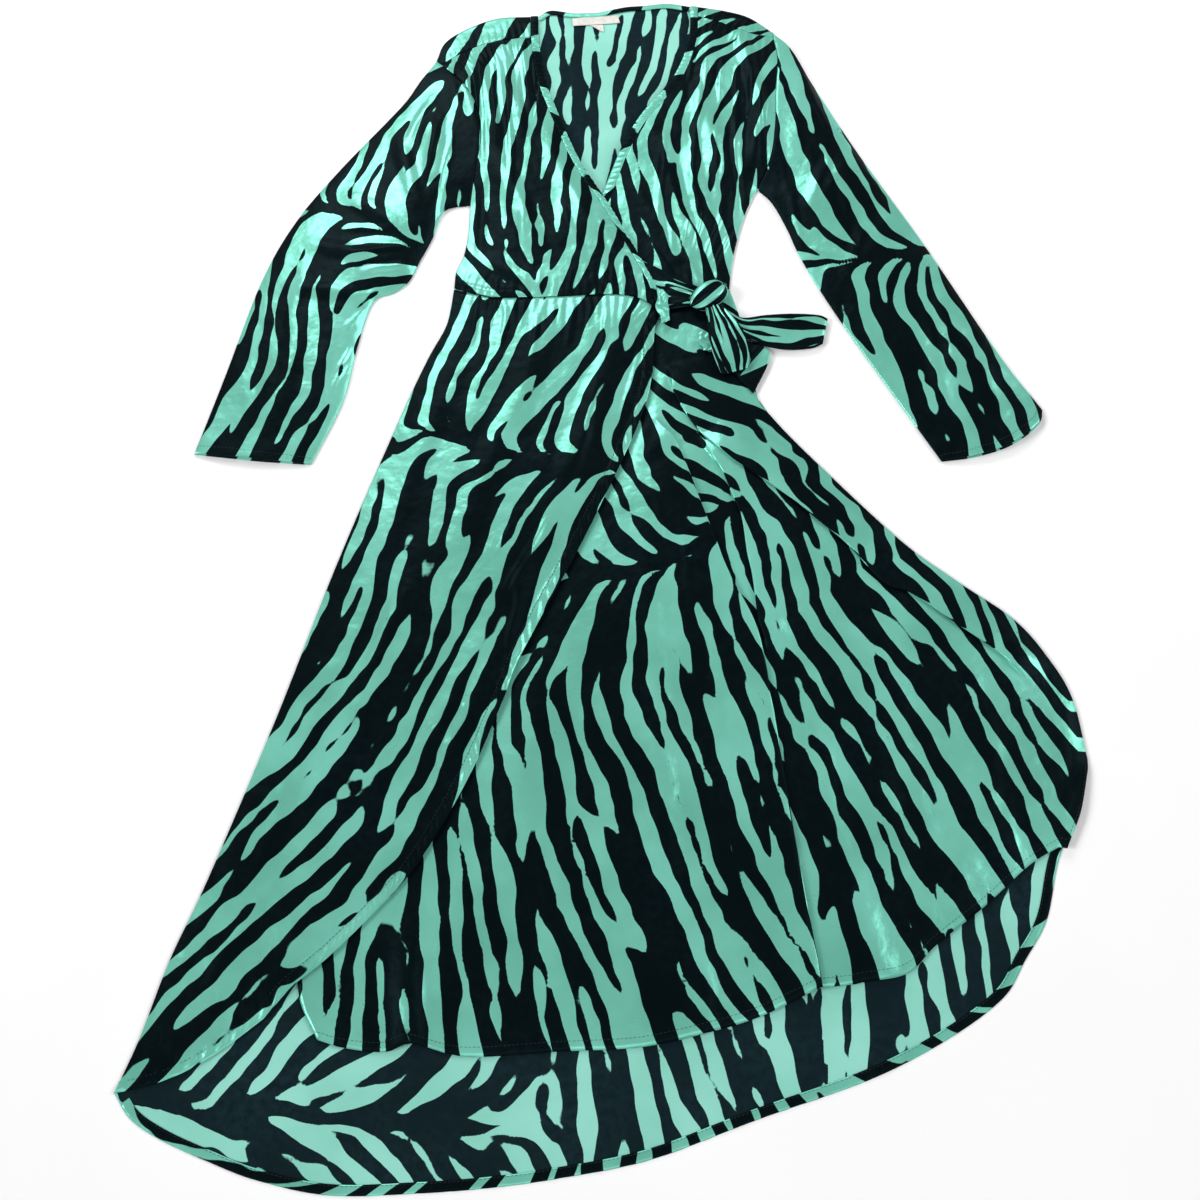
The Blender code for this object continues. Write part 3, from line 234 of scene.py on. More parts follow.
# ---- creases, finer than the folds
# From (x, y), to (x, y), height, half of its width; a negative height is a trough
CREASES = {
    "over": [
        (-185, 730, -172, 596, 2.2, 6), (-171, 733, -163, 626, 1.8, 5),
        (-156, 736, -144, 574, 2.5, 6), (-136, 733, -129, 596, 2.6, 5),
        (-121, 733, -108, 538, 2.4, 6), (-107, 736, -99, 641, 1.8, 5), (-97, 738, -90, 663, 2, 4.5),
        (-84, 741, -81, 672, 1.4, 4), (-75, 704, -82, 638, 1.5, 4), (-143, 567, -146, 435, 2, 9),
        (-99, 538, -85, 417, 2.2, 10), (-49, 523, -18, 431, 2, 9), (0, 502, 24, 435, 1.4, 7),
        (-160, 523, -162, 424, 1.6, 7), (-123, 382, -128, 413, 1, 4),
        (-106, 382, -110, 424, 1.3, 4.5), (-89, 382, -91, 415, 0.9, 3.5),
        (-72, 384, -71, 427, 1.3, 4.5), (-56, 384, -53, 413, 0.9, 3.5),
        (-38, 384, -34, 424, 1.2, 4.5), (-20, 382, -14, 411, 0.9, 4), (-1, 382, 5, 421, 1.2, 4.5),
        (17, 382, 22, 407, 0.8, 3.5), (-149, 374, -154, 321, 1.3, 6),
        (-130, 374, -132, 341, 0.9, 4), (-110, 375, -119, 314, 1.4, 6),
        (-91, 375, -95, 339, 0.9, 4), (-71, 377, -81, 301, 1.5, 6), (-52, 377, -56, 344, 0.8, 4),
        (-30, 375, -40, 314, 1.4, 6), (-10, 374, -16, 341, 0.9, 4), (12, 374, 2, 312, 1.3, 6),
        (34, 371, 26, 334, 0.9, 5), (-87, 47, -109, -118, -1.8, 9), (-100, 89, -115, 56, 1.2, 2.5),
        (-228, 102, -46, 114, -0.5, 3.5), (-279, -11, -89, -1, -0.4, 3.5),
        (-323, -185, -140, -172, -0.4, 3.5), (-60, 98, -108, 4, 2.4, 5),
        (-84, -50, -104, -110, 1.8, 5), (-248, -160, -214, -176, 0.9, 3),
        (-214, -165, -183, -185, 1, 3), (-196, -140, -162, -172, 1, 3),
        (-177, -185, -155, -229, 0.9, 3), (-209, -207, -171, -220, 0.8, 3),
        (-162, -118, -133, -136, 0.8, 3), (-224, -196, -201, -229, 0.7, 3),
        (-296, -106, -366, -335, 1.6, 14), (-318, -272, -409, -437, 1.4, 12),
        (-203, 47, -262, -118, 1.5, 16), (0, 274, -29, 158, 1.4, 10), (48, 321, 26, 222, 1.2, 6),
    ],
    "under": [
        (106, 440, 122, 404, 2.4, 4.5), (121, 436, 134, 400, 2.0, 4), (138, 430, 144, 400, 1.8, 4),
        (60, 462, 98, 404, 1.8, 6), (170, 656, 172, 494, 2.5, 8), (199, 696, 209, 567, 2.2, 7),
        (127, 687, 111, 523, 2, 9), (88, 626, 67, 480, 2, 9), (148, 641, 143, 509, 1.6, 7),
        (165, 487, 136, 427, 2.4, 5), (150, 502, 126, 435, 2.2, 5), (129, 509, 115, 445, 2, 4.5),
        (111, 502, 103, 452, 1.6, 4.5), (177, 466, 147, 403, 2, 5), (83, 502, 91, 449, 1.5, 5),
        (68, 516, 83, 452, 1.2, 4), (134, 736, 134, 672, 1.8, 5), (156, 733, 149, 656, 2.2, 5.5),
        (176, 725, 170, 653, 2, 5), (194, 715, 186, 641, 1.8, 5), (118, 749, 114, 693, 1.4, 5),
        (0, -49, -16, -335, 1.6, 18), (55, -118, 70, -437, 1.8, 18),
        (108, -185, 125, -417, 1.6, 16), (-43, -185, -62, -417, 1.4, 18),
        (-139, -229, -164, -437, 1.4, 16), (221, -49, 261, -335, 1.8, 18),
        (310, -49, 348, -293, 1.6, 18), (399, -49, 436, -250, 1.4, 16), (57, 145, 81, 47, 1.4, 6),
        (91, 96, 101, -1, 1.2, 6), (112, -1, 122, -140, -1.2, 7), (149, -49, 162, -229, -1.2, 8),
        (271, 47, 332, -49, 1.2, 8), (-83, -376, -86, -466, 1.2, 12), (0, -396, 12, -481, 1.3, 12),
        (103, -396, 118, -471, 1.3, 12), (166, -366, 189, -447, 1, 10),
    ],
    "back": [
        (-40, -496, 0, -609, 1.2, 22), (-181, -525, -157, -618, 1.0, 20),
        (101, -486, 138, -591, 1.1, 22), (266, -437, 301, -525, 1.0, 18),
        (-301, -525, -266, -600, 0.9, 18), (384, -366, 419, -437, 0.9, 16),
        (-402, -515, -367, -572, 0.8, 14), (0, 733, 7, 567, 0.9, 14), (51, 749, 35, 641, 0.9, 12),
        (-32, 733, -25, 641, 0.7, 10),
    ],
    "sleeve_r": [
        (-219, 710, -252, 656, 2.2, 7), (-208, 684, -240, 596, 2.6, 8),
        (-194, 653, -218, 552, 2.4, 8), (-184, 619, -198, 535, 2, 6),
        (-230, 718, -272, 672, 1.6, 7), (-234, 452, -304, 441, 2.2, 7),
        (-228, 427, -290, 417, 2.4, 7), (-239, 401, -298, 382, 2.2, 7),
        (-258, 385, -304, 341, 1.6, 7), (-251, 477, -318, 480, 1.6, 9),
        (-322, 341, -327, 222, 1.6, 12), (-380, 314, -398, 209, 1.6, 14),
        (-295, 321, -309, 285, 1.4, 4), (-297, 301, -314, 261, 1.2, 4),
        (-352, 438, -370, 341, 1.4, 12),
    ],
    "sleeve_l": [
        (256, 730, 293, 596, 1.6, 9), (224, 696, 239, 582, 1.6, 8), (235, 552, 243, 452, 1.6, 8),
        (281, 596, 317, 466, 1.4, 12), (251, 452, 303, 435, 1.3, 5), (269, 421, 313, 396, 1, 5),
        (300, 382, 342, 274, 1.2, 12), (364, 341, 419, 209, 1.3, 13), (225, 611, 232, 523, 1.4, 6),
        (319, 494, 364, 435, 1, 7), (409, 382, 458, 261, 1.1, 12),
    ],
}
# Gathers at seams: line, layer, spacing along it, height at the seam, how far they run
GATHERS = [
    ("yoke_r", "over", 8.5, 0.7, 34), ("yoke_l", "under", 10.0, 0.6, 34),
    ("waist_over", "over", 11.0, 0.6, 30), ("waist_under", "under", 12.0, 0.5, 26),
    ("neck_edge_r", "over", 13.0, 0.45, 20),
]

# Seam down the back's middle, and how far the print is shifted beyond it
BACK_SEAM, BACK_SHIFT = ((240, -560), (218, -442), (-10, 390)), (-14.0, 9.0)
WAIST_ROLL = (2.8, 6.5, 5.5, -80.0)     # height, middle above the seam, half width, ends at x
STRAY, RIDGE_REACH = 0.25, 1.6      # how far creases wander, and all ridges reach, in half widths
UNEVEN = (("broad", 0.6), ("mid", 0.5), ("fine", 0.24))     # the cloth's ripples, their heights
CALM = 14                           # creases and ripples fade out this near to a seam
LOWEST = REST - 0.25                # the front layers sink no lower
TROUGHS = 0.5                       # how much of a ripple's depth its troughs keep
# Gathers: how far they wander, their mean share of the height, how uneven, where they start
GATHER_STRAY, GATHER_HEIGHT, GATHER_UNEVEN, GATHER_START = 1.6, 0.8, 0.3, 2.5
BACK_RIPPLE, BACK_MOST = 0.5, 0.6   # share of its creases that the back keeps, and their limit
SEAMS = {"over": ["side_r", "skirt_side_r", "shoulder_r"],
         "under": ["side_l", "skirt_side_l", "shoulder_l"]}
FREE_HEMS = {"over": ["wrap_hem"], "under": ["hem_under", "hem_side"]}

# ---- the print
# Ways that the stripes run on each panel: x, y, angle in degrees. "spine" is the line where
# they meet in a herringbone; rows in "above" lie to the left of its way.
PRINT = {
    "skirt_right": {
        "box": ((-520, -640), (110, 430)), "period": 24, "seed": 31,
        "spine": [(-243, 183), (-209, 195), (-168, 192), (-116, 173), (-69, 168), (-23, 173),
                  (46, 155)],
        "above": [(-65, 258, 44), (45, 262, 70), (-29, 230, 71), (-128, 352, 75), (-57, 347, 56),
                  (-179, 268, 72), (26, 361, 65)],
        "below": [(-235, 144, 82), (-127, 152, 26), (-154, 102, 85), (-97, 149, 32),
                  (-127, 65, 76), (-63, 114, 62), (-29, 127, 61), (-203, 47, 67), (-96, 35, 66),
                  (-253, -13, 69), (-138, -72, 66), (-298, -151, 53), (-351, -250, 48),
                  (-390, -416, 47), (-436, -476, 47), (-192, -234, 68), (-129, -185, 78),
                  (-99, -83, 73), (-257, -309, 47), (-321, -368, 35)]},
    "skirt_left": {
        "box": ((-320, -520), (560, 430)), "period": 25, "seed": 12,
        "spine": [(-45, 39), (-19, 34), (22, 32), (60, 38), (102, 56), (142, 77), (183, 120)],
        "above": [(28, 127, 107), (74, 114, 123), (41, 196, 102), (124, 152, 162),
                  (134, 118, 12), (123, 261, 143), (157, 222, 147), (225, 165, 131),
                  (301, 96, 127)],
        "below": [(14, 3, 76), (67, 5, 100), (123, 11, 106), (39, -13, 81), (-47, -19, 57),
                  (27, -173, 116), (-32, -223, 100), (-217, -374, 86), (-170, -391, 97),
                  (123, -189, 109), (78, -339, 114), (20, -386, 112), (182, -350, 113),
                  (154, -416, 126), (221, -60, 118), (269, -88, 119), (297, -173, 113),
                  (356, -168, 120), (442, -173, 116), (474, -71, 122), (255, -345, 92),
                  (334, -329, 111), (405, -298, 122), (390, -7, 134)]},
    "skirt_back": {
        "box": ((-520, -650), (560, 430)), "period": 28, "seed": 13, "lean": -1,
        "spine": [(-492, -520), (-424, -539), (-340, -538), (-217, -546), (-160, -551),
                  (-80, -551)],
        "above": [(-263, -499, 26), (-183, -514, 41), (-126, -515, 53), (-369, -486, 57),
                  (-26, -534, 96), (10, -538, 103), (90, -520, 112), (135, -538, 108),
                  (197, -495, 97), (259, -471, 78), (280, -461, 95), (358, -436, 100),
                  (405, -421, 77), (433, -366, 90), (480, -288, 73), (-200, -100, 60),
                  (0, 0, 90), (200, 0, 110), (-150, 250, 70), (100, 250, 100)],
        "below": [(-258, -583, 141), (-178, -586, 132), (-129, -586, 131), (-378, -565, 152),
                  (-79, -577, 126), (-22, -586, 95), (94, -567, 101)]},
    "bodice_back": {
        "box": ((-230, 370), (240, 840)), "period": 22, "seed": 14,
        "above": [(-50, 695, 89), (10, 710, 87), (42, 726, 76), (64, 695, 71), (-1, 589, 88),
                  (-150, 600, 95), (150, 600, 82), (0, 420, 90)]},
    "bodice_right": {
        "box": ((-230, 340), (100, 840)), "period": 22, "seed": 15,
        "above": [(-118, 733, 74), (-160, 777, 65), (-127, 642, 90), (-63, 612, 83),
                  (-90, 582, 79), (-40, 560, 76), (-137, 509, 91), (-83, 488, 101),
                  (-28, 495, 78), (-6, 523, 102), (-121, 417, 140), (-36, 417, 60),
                  (9, 445, 67), (33, 438, 108), (-184, 582, 95)]},
    "bodice_left": {
        "box": ((-110, 360), (250, 840)), "period": 21, "seed": 16,
        "above": [(148, 757, 36), (114, 695, 71), (63, 657, 60), (37, 538, 102), (68, 545, 96),
                  (91, 547, 122), (146, 560, 74), (167, 538, 88), (192, 634, 74),
                  (131, 480, 107), (37, 480, 106)]},
    "sleeve_right": {
        "box": ((-490, 140), (-130, 750)), "period": 22, "seed": 17,
        "spine": [(-382, 523), (-319, 503), (-282, 492), (-244, 469), (-204, 449)],
        "above": [(-197, 604, 89), (-237, 590, 79), (-270, 597, 76), (-281, 612, 57),
                  (-247, 691, 32), (-342, 575, 66)],
        "below": [(-273, 442, 7), (-271, 403, 0), (-354, 448, 69), (-376, 382, 90),
                  (-350, 355, 98), (-321, 369, 87), (-273, 375, 56), (-403, 315, 78),
                  (-347, 288, 84), (-418, 242, 61), (-378, 209, 59), (-339, 229, 74)]},
    "sleeve_left": {
        "box": ((180, 150), (540, 790)), "period": 25, "seed": 18,
        "spine": [(230, 427), (279, 435), (315, 435), (358, 441), (414, 452)],
        "above": [(231, 604, 95), (268, 582, 105), (294, 619, 107), (257, 495, 118),
                  (326, 516, 114), (352, 491, 121)],
        "below": [(371, 409, 68), (305, 404, 109), (267, 369, 106), (365, 362, 115),
                  (414, 372, 117), (338, 308, 115), (394, 268, 107), (455, 294, 114),
                  (481, 255, 105), (408, 216, 106)]},
    # Strips, in their own millimetres: along, across
    "band": {
        "box": ((-30, -60), (560, 60)), "period": 62, "seed": 23,
        "above": [(0, 0, 40), (110, 0, 130), (220, 0, 45), (330, 0, 140), (450, 0, 60)]},
    "tie": {
        "box": ((-60, -60), (360, 60)), "period": 14, "seed": 22,
        "above": [(0, 0, 4), (120, 0, -6), (240, 0, 5)]},
}
STEP = 2.5                          # spacing of the print's grid
SPREAD = 34.0                       # how softly one way of the stripes turns into the next
ROUNDS = 8
WALK, WALK_STEPS = 2.2, 7           # how far stripes are drawn out, in periods, and in steps
ACROSS, ACROSS_POINTS = 1.25, 21    # how far they are sorted to each side, and at how many points
BELL = 0.5                          # how soft that sorting's end is
SWELL, FORKS = 0.55, 0.17           # how much stripes swell and taper, and split
LUMP, WARP = 0.19, 2.3              # how much their edges bulge and wander
LEAN, LEAN_REACH = 0.8, 20.0        # how far stripes bend along a spine, and how close to it
SPINE_WIDTH = (4.0, 1.8, 1.5)       # middle, how uneven, least
SPINE_DARK = 1.9
SHARPEN = 1.6                       # how hard each round pushes the noise to black or green
LEVEL, LEVEL_SIZE = 0.5, 1.3        # how much is taken out of what is broader than the stripes
SWELL_SIZE, FORK_SIZE = (0.5, 1.1), (0.25, 0.6)     # and what is taken out of each, in periods
LUMP_SIZE, WARP_SIZE, FINE_WARP = 11, 30, 0.3
PRINT_CUT = 0.12                    # the print is black below this

# ---- camera and light
CAMERA_TILT, CAMERA_DISTANCE, LENS, FILM = 20.0, 1.75, 46.86, 36.0
TARGET = (-0.019, -0.100)
# Even lights: from which way round (0 is the hem's side, 90 the left sleeve's), elevation,
# how broad, strength
LIGHTS = [("left", -80, 34, 22, 1.75), ("right", 105, 36, 34, 1.4), ("front", 10, 42, 50, 0.92)]
WINDOW = ((-0.6, 1.6, 1.3), (0.0, 0.2, 0.0), 0.8, 18.0)     # place, aim, size, power
AMBIENT = 0.14
FLOOR_REACH, FLOOR_HEIGHT = 20.0, -0.0004


# ---- smooth lines, as in the part
def through(knots, steps):
    knots = np.vstack([2 * knots[0] - knots[1], knots, 2 * knots[-1] - knots[-2]])
    t = np.linspace(0, 1, steps, endpoint=False)[:, None]
    runs = [0.5 * (2 * b + (c - a) * t + (2 * a - 5 * b + 4 * c - d) * t ** 2
                   + (3 * b - a - 3 * c + d) * t ** 3)
            for a, b, c, d in zip(knots, knots[1:], knots[2:], knots[3:])]
    return np.vstack(runs + [knots[-2:-1]])


def smooth(points):
    knots = np.array([CORNERS[p] if isinstance(p, str) else p for p in points], float)
    return resample(through(knots, KNOT_STEPS), SAMPLES)


def resample(line, count):
    return point_at(line, np.linspace(0, 1, count))


def lengths(line):
    steps = np.linalg.norm(np.diff(line, axis=0), axis=1)
    return np.concatenate([[0.0], np.cumsum(steps)])


def point_at(line, shares):
    along = lengths(line)
    where = np.asarray(shares, float) * along[-1]
    return np.stack([np.interp(where, along, line[:, k]) for k in range(line.shape[1])], -1)


def cut(line, start, end, count=SAMPLES):
    return point_at(line, np.linspace(start, end, count))


def join(*lines):
    return resample(np.vstack(lines), SAMPLES)


def pin(line, start, end):
    u = np.linspace(0, 1, len(line))[:, None]
    return line + (start - line[0]) * (1 - u) ** 2 + (end - line[-1]) * u ** 2


def tangents(line):
    steps = np.gradient(line, axis=0)
    return steps / np.linalg.norm(steps, axis=1)[:, None]


def beside(line, distance):
    along = tangents(line)
    return line + distance * np.stack([-along[:, 1], along[:, 0]], -1)


def share_near(line, point):
    nearest_one = np.argmin(np.linalg.norm(line - point, axis=1))
    return lengths(line)[nearest_one] / lengths(line)[-1]


def nearest(line, xy):
    """Signed distance of each point to a line, and the place on it, by the line's points."""
    flat = xy.reshape(-1, 2)
    start, step = line[:-1], np.diff(line, axis=0)
    span = (step ** 2).sum(-1)
    signed, place = np.empty(len(flat)), np.empty(len(flat))
    for k in range(0, len(flat), CHUNK):
        part = flat[k:k + CHUNK]
        ax = part[:, :1] - start[None, :, 0]
        ay = part[:, 1:] - start[None, :, 1]
        share = np.clip((ax * step[:, 0] + ay * step[:, 1]) / span, 0, 1)
        apart = (ax - share * step[:, 0]) ** 2 + (ay - share * step[:, 1]) ** 2
        best = apart.argmin(axis=1)
        rows = np.arange(len(part))
        side = step[best, 0] * ay[rows, best] - step[best, 1] * ax[rows, best]
        signed[k:k + CHUNK] = np.where(side < 0, -1.0, 1.0) * np.sqrt(apart[rows, best])
        place[k:k + CHUNK] = best + share[rows, best]
    return signed.reshape(xy.shape[:-1]), place.reshape(xy.shape[:-1])


def distance(line, xy):
    return nearest(line, xy)[0]


def rise(share):
    return np.sin(np.clip(share, 0, 1) * math.pi / 2)


def ease(share):
    share = np.clip(share, 0, 1)
    return share * share * (3 - 2 * share)


LINE = {name: smooth(points) for name, points in LINES.items()}
OVER_RIM = np.vstack([LINE["neck_edge_r"], LINE["wrap"][1:], LINE["wrap_hem"][::-1][1:]])
UNDER_RIM = np.vstack([LINE["neck_edge_l"], LINE["under_edge"][1:]])


# ---- noise
NOISE_GAIN = 1.7                    # brings the smooth noise's spread to about 1


def value_noise(shape, cell, rng):
    """Smooth noise on a grid, by a cubic spread of coarse random values."""
    rows, columns = shape
    coarse = rng.standard_normal((int(rows / cell) + 4, int(columns / cell) + 4))

    def weights(count):
        t = np.arange(count) / cell + 1
        i = t.astype(int)
        f = t - i
        return i, [((1 - f) ** 3) / 6, (3 * f ** 3 - 6 * f ** 2 + 4) / 6,
                   (-3 * f ** 3 + 3 * f ** 2 + 3 * f + 1) / 6, f ** 3 / 6]
    iy, wy = weights(rows)
    ix, wx = weights(columns)
    across = sum(wx[k][None, :] * coarse[:, ix - 1 + k] for k in range(4))
    return sum(wy[k][:, None] * across[iy - 1 + k, :] for k in range(4)) * NOISE_GAIN


def bilinear(grid, px, py):
    rows, columns = grid.shape
    px, py = np.clip(px, 0, columns - 1.001), np.clip(py, 0, rows - 1.001)
    i, j = px.astype(int), py.astype(int)
    fx, fy = px - i, py - j
    return (grid[j, i] * (1 - fx) * (1 - fy) + grid[j, i + 1] * fx * (1 - fy)
            + grid[j + 1, i] * (1 - fx) * fy + grid[j + 1, i + 1] * fx * fy)


RIPPLE_BOX, RIPPLE_SHAPE = (-540.0, -660.0, 4.0), (380, 280)       # corner and step; rows, columns
RIPPLE_CELLS = (("broad", 14.0), ("mid", 6.5), ("fine", 3.2))
RIPPLE_RNG = np.random.default_rng(5)
RIPPLES = {name: value_noise(RIPPLE_SHAPE, cell, RIPPLE_RNG) for name, cell in RIPPLE_CELLS}


def ripple(xy, name):
    x0, y0, step = RIPPLE_BOX
    return bilinear(RIPPLES[name], (xy[..., 0] - x0) / step, (xy[..., 1] - y0) / step)


# ---- heights of the layers
def seam_distance(names, xy):
    return np.min([np.abs(distance(LINE[name], xy)) for name in names], axis=0)


def fullness(layer, xy):
    table = np.array(FULLNESS)[::-1]
    return np.interp(xy[..., 1], table[:, 0], table[:, {"under": 1, "over": 2}[layer]])


def ridges(rows, xy, stray):
    """Sum of soft ridges and troughs, which wander by this share of their half width."""
    total = np.zeros(xy.shape[:-1])
    wobble = ripple(xy, "mid")
    for x0, y0, x1, y1, height, half in rows:
        start, way = np.array((x0, y0), float), np.array((x1 - x0, y1 - y0), float)
        span = np.linalg.norm(way)
        way = way / span
        offset = xy - start
        across = offset @ np.array((-way[1], way[0]))
        along = offset @ way / span
        near = (np.abs(across) < half * RIDGE_REACH) & (along > 0) & (along < 1)
        if not near.any():
            continue
        side = np.abs(across[near] + half * stray * wobble[near]) / half
        crest = np.cos(np.clip(side, 0, 1) * math.pi / 2) ** 2
        total[near] += height * crest * np.sin(math.pi * along[near]) ** 0.7
    return total


def folds(layer, xy):
    return ridges(FOLDS[layer], xy, 0.0)


def creases(layer, xy):
    return ridges(CREASES[layer], xy, STRAY)


def gathers(layer, xy):
    """Short gathers that fade away from the seams they are drawn into."""
    total = np.zeros(xy.shape[:-1])
    for name, of_layer, spacing, height, run in GATHERS:
        if of_layer != layer:
            continue
        line = LINE[name]
        near = ((xy[..., 0] > line[:, 0].min() - run) & (xy[..., 0] < line[:, 0].max() + run)
                & (xy[..., 1] > line[:, 1].min() - 3 * run)
                & (xy[..., 1] < line[:, 1].max() + 3 * run))
        if not near.any():
            continue
        apart, place = nearest(line, xy[near])
        along = place / (SAMPLES - 1) * lengths(line)[-1]
        uneven = ripple(xy[near], "mid")
        wave = (np.cos(2 * math.pi * along / spacing + GATHER_STRAY * uneven)
                * (GATHER_HEIGHT + GATHER_UNEVEN * uneven))
        total[near] += (height * wave * np.exp(-(apart / run) ** 2)
                        * ease(np.abs(apart) / GATHER_START))
    return total


def flattened(edge, away):
    share, reach = edge
    return share + (1 - share) * rise(away / reach)


def under_height(xy):
    seams = seam_distance(SEAMS["under"], xy)
    start, span = UNDER_WRAP
    clear = rise((distance(OVER_RIM, xy) - start) / span)
    hem = flattened(AT_HEM, seam_distance(FREE_HEMS["under"], xy))
    loft = fullness("under", xy) * hem + folds("under", xy)
    return REST + loft * clear * rise(seams / REACH)


def over_height(xy):
    seams = seam_distance(SEAMS["over"], xy)
    start, span = OVER_UNDERLAP
    covered = ease((distance(UNDER_RIM, xy) - start) / span)
    rim = flattened(AT_WRAP, np.abs(distance(OVER_RIM, xy)))
    loft = (fullness("over", xy) * rim + folds("over", xy) * ease(rim)) * rise(seams / REACH)
    return REST + LIFT * covered + loft


def detail(layer, xy):
    """What the shells add to the part's form: creases, gathers and a slight unevenness."""
    own = creases(layer, xy) + gathers(layer, xy)
    uneven = sum(height * ripple(xy, name) for name, height in UNEVEN)
    own += np.where(uneven < 0, TROUGHS * uneven, uneven)
    if layer == "over":
        # The bodice blouses over the waist seam at its own side
        above = distance(LINE["waist_over"], xy)
        height, start, half, from_x = WAIST_ROLL
        own += (height * np.exp(-((above - start) / half) ** 2) * (above > 0)
                * ease((from_x - xy[..., 0]) / 30))
    calm = ease(seam_distance(SEAMS[layer] + FREE_HEMS[layer], xy) / CALM)
    if layer == "under":
        calm = calm * ease((distance(OVER_RIM, xy) - 1) / CALM)
    return own * calm


def under_surface(xy):
    return np.maximum(under_height(xy) + detail("under", xy), LOWEST)


def over_surface(xy):
    return np.maximum(over_height(xy) + detail("over", xy), LOWEST)


def back_surface(xy):
    """The back lies on the floor, with a slight ripple where it shows."""
    return BOTTOM + np.clip(BACK_RIPPLE * creases("back", xy), 0, BACK_MOST)


def seam_dip(xy, names, depth=SEAM_DIP, half=SEAM_HALF):
    return depth * np.exp(-(seam_distance(names, xy) / half) ** 2)


# ---- the print's stripes
def directions(rows, xy):
    total_cos, total_sin = np.zeros(xy.shape[:-1]), np.zeros(xy.shape[:-1])
    for x, y, angle in rows:
        weight = ((xy[..., 0] - x) ** 2 + (xy[..., 1] - y) ** 2 + SPREAD ** 2) ** -2.0
        total_cos += weight * math.cos(math.radians(2 * angle))
        total_sin += weight * math.sin(math.radians(2 * angle))
    return 0.5 * np.arctan2(total_sin, total_cos)


def blur(grid):
    p = np.pad(grid, 1, mode="edge")
    q = (p[:-2] + 2 * p[1:-1] + p[2:]) / 4
    return (q[:, :-2] + 2 * q[:, 1:-1] + q[:, 2:]) / 4


def soft(grid, cells):
    """Gaussian blur by a number of cells, over the grid's mirror images."""
    rows, columns = grid.shape
    mirrored = np.pad(grid, ((0, rows), (0, columns)), mode="symmetric")
    fy, fx = np.fft.fftfreq(2 * rows)[:, None], np.fft.fftfreq(2 * columns)[None]
    keep = np.exp(-2 * (math.pi * cells) ** 2 * (fx ** 2 + fy ** 2))
    return np.fft.ifft2(np.fft.fft2(mirrored) * keep).real[:rows, :columns]


def spine_ways(line, lean, above, below, xy):
    """Ways of the stripes on both sides of a spine: close to it they bend along it."""
    apart, place = nearest(line, xy)
    turn = np.where(apart > 0, directions(above, xy), directions(below, xy))
    way = lean * tangents(line)[np.round(place).astype(int)]
    x, y = np.cos(turn), np.sin(turn)
    inward = -lean * np.sign(apart) * (way[..., 0] * y - way[..., 1] * x)
    facing = np.where(inward < 0, -1.0, 1.0)
    inside = (place > 0.01) & (place < len(line) - 1.01)
    share = LEAN * np.exp(-(apart / LEAN_REACH) ** 2) * np.where(inside, 1.0, 0.35)
    x = x * facing * (1 - share) + way[..., 0] * share
    y = y * facing * (1 - share) + way[..., 1] * share
    size = np.hypot(x, y) + 1e-9
    return apart, x / size, y / size


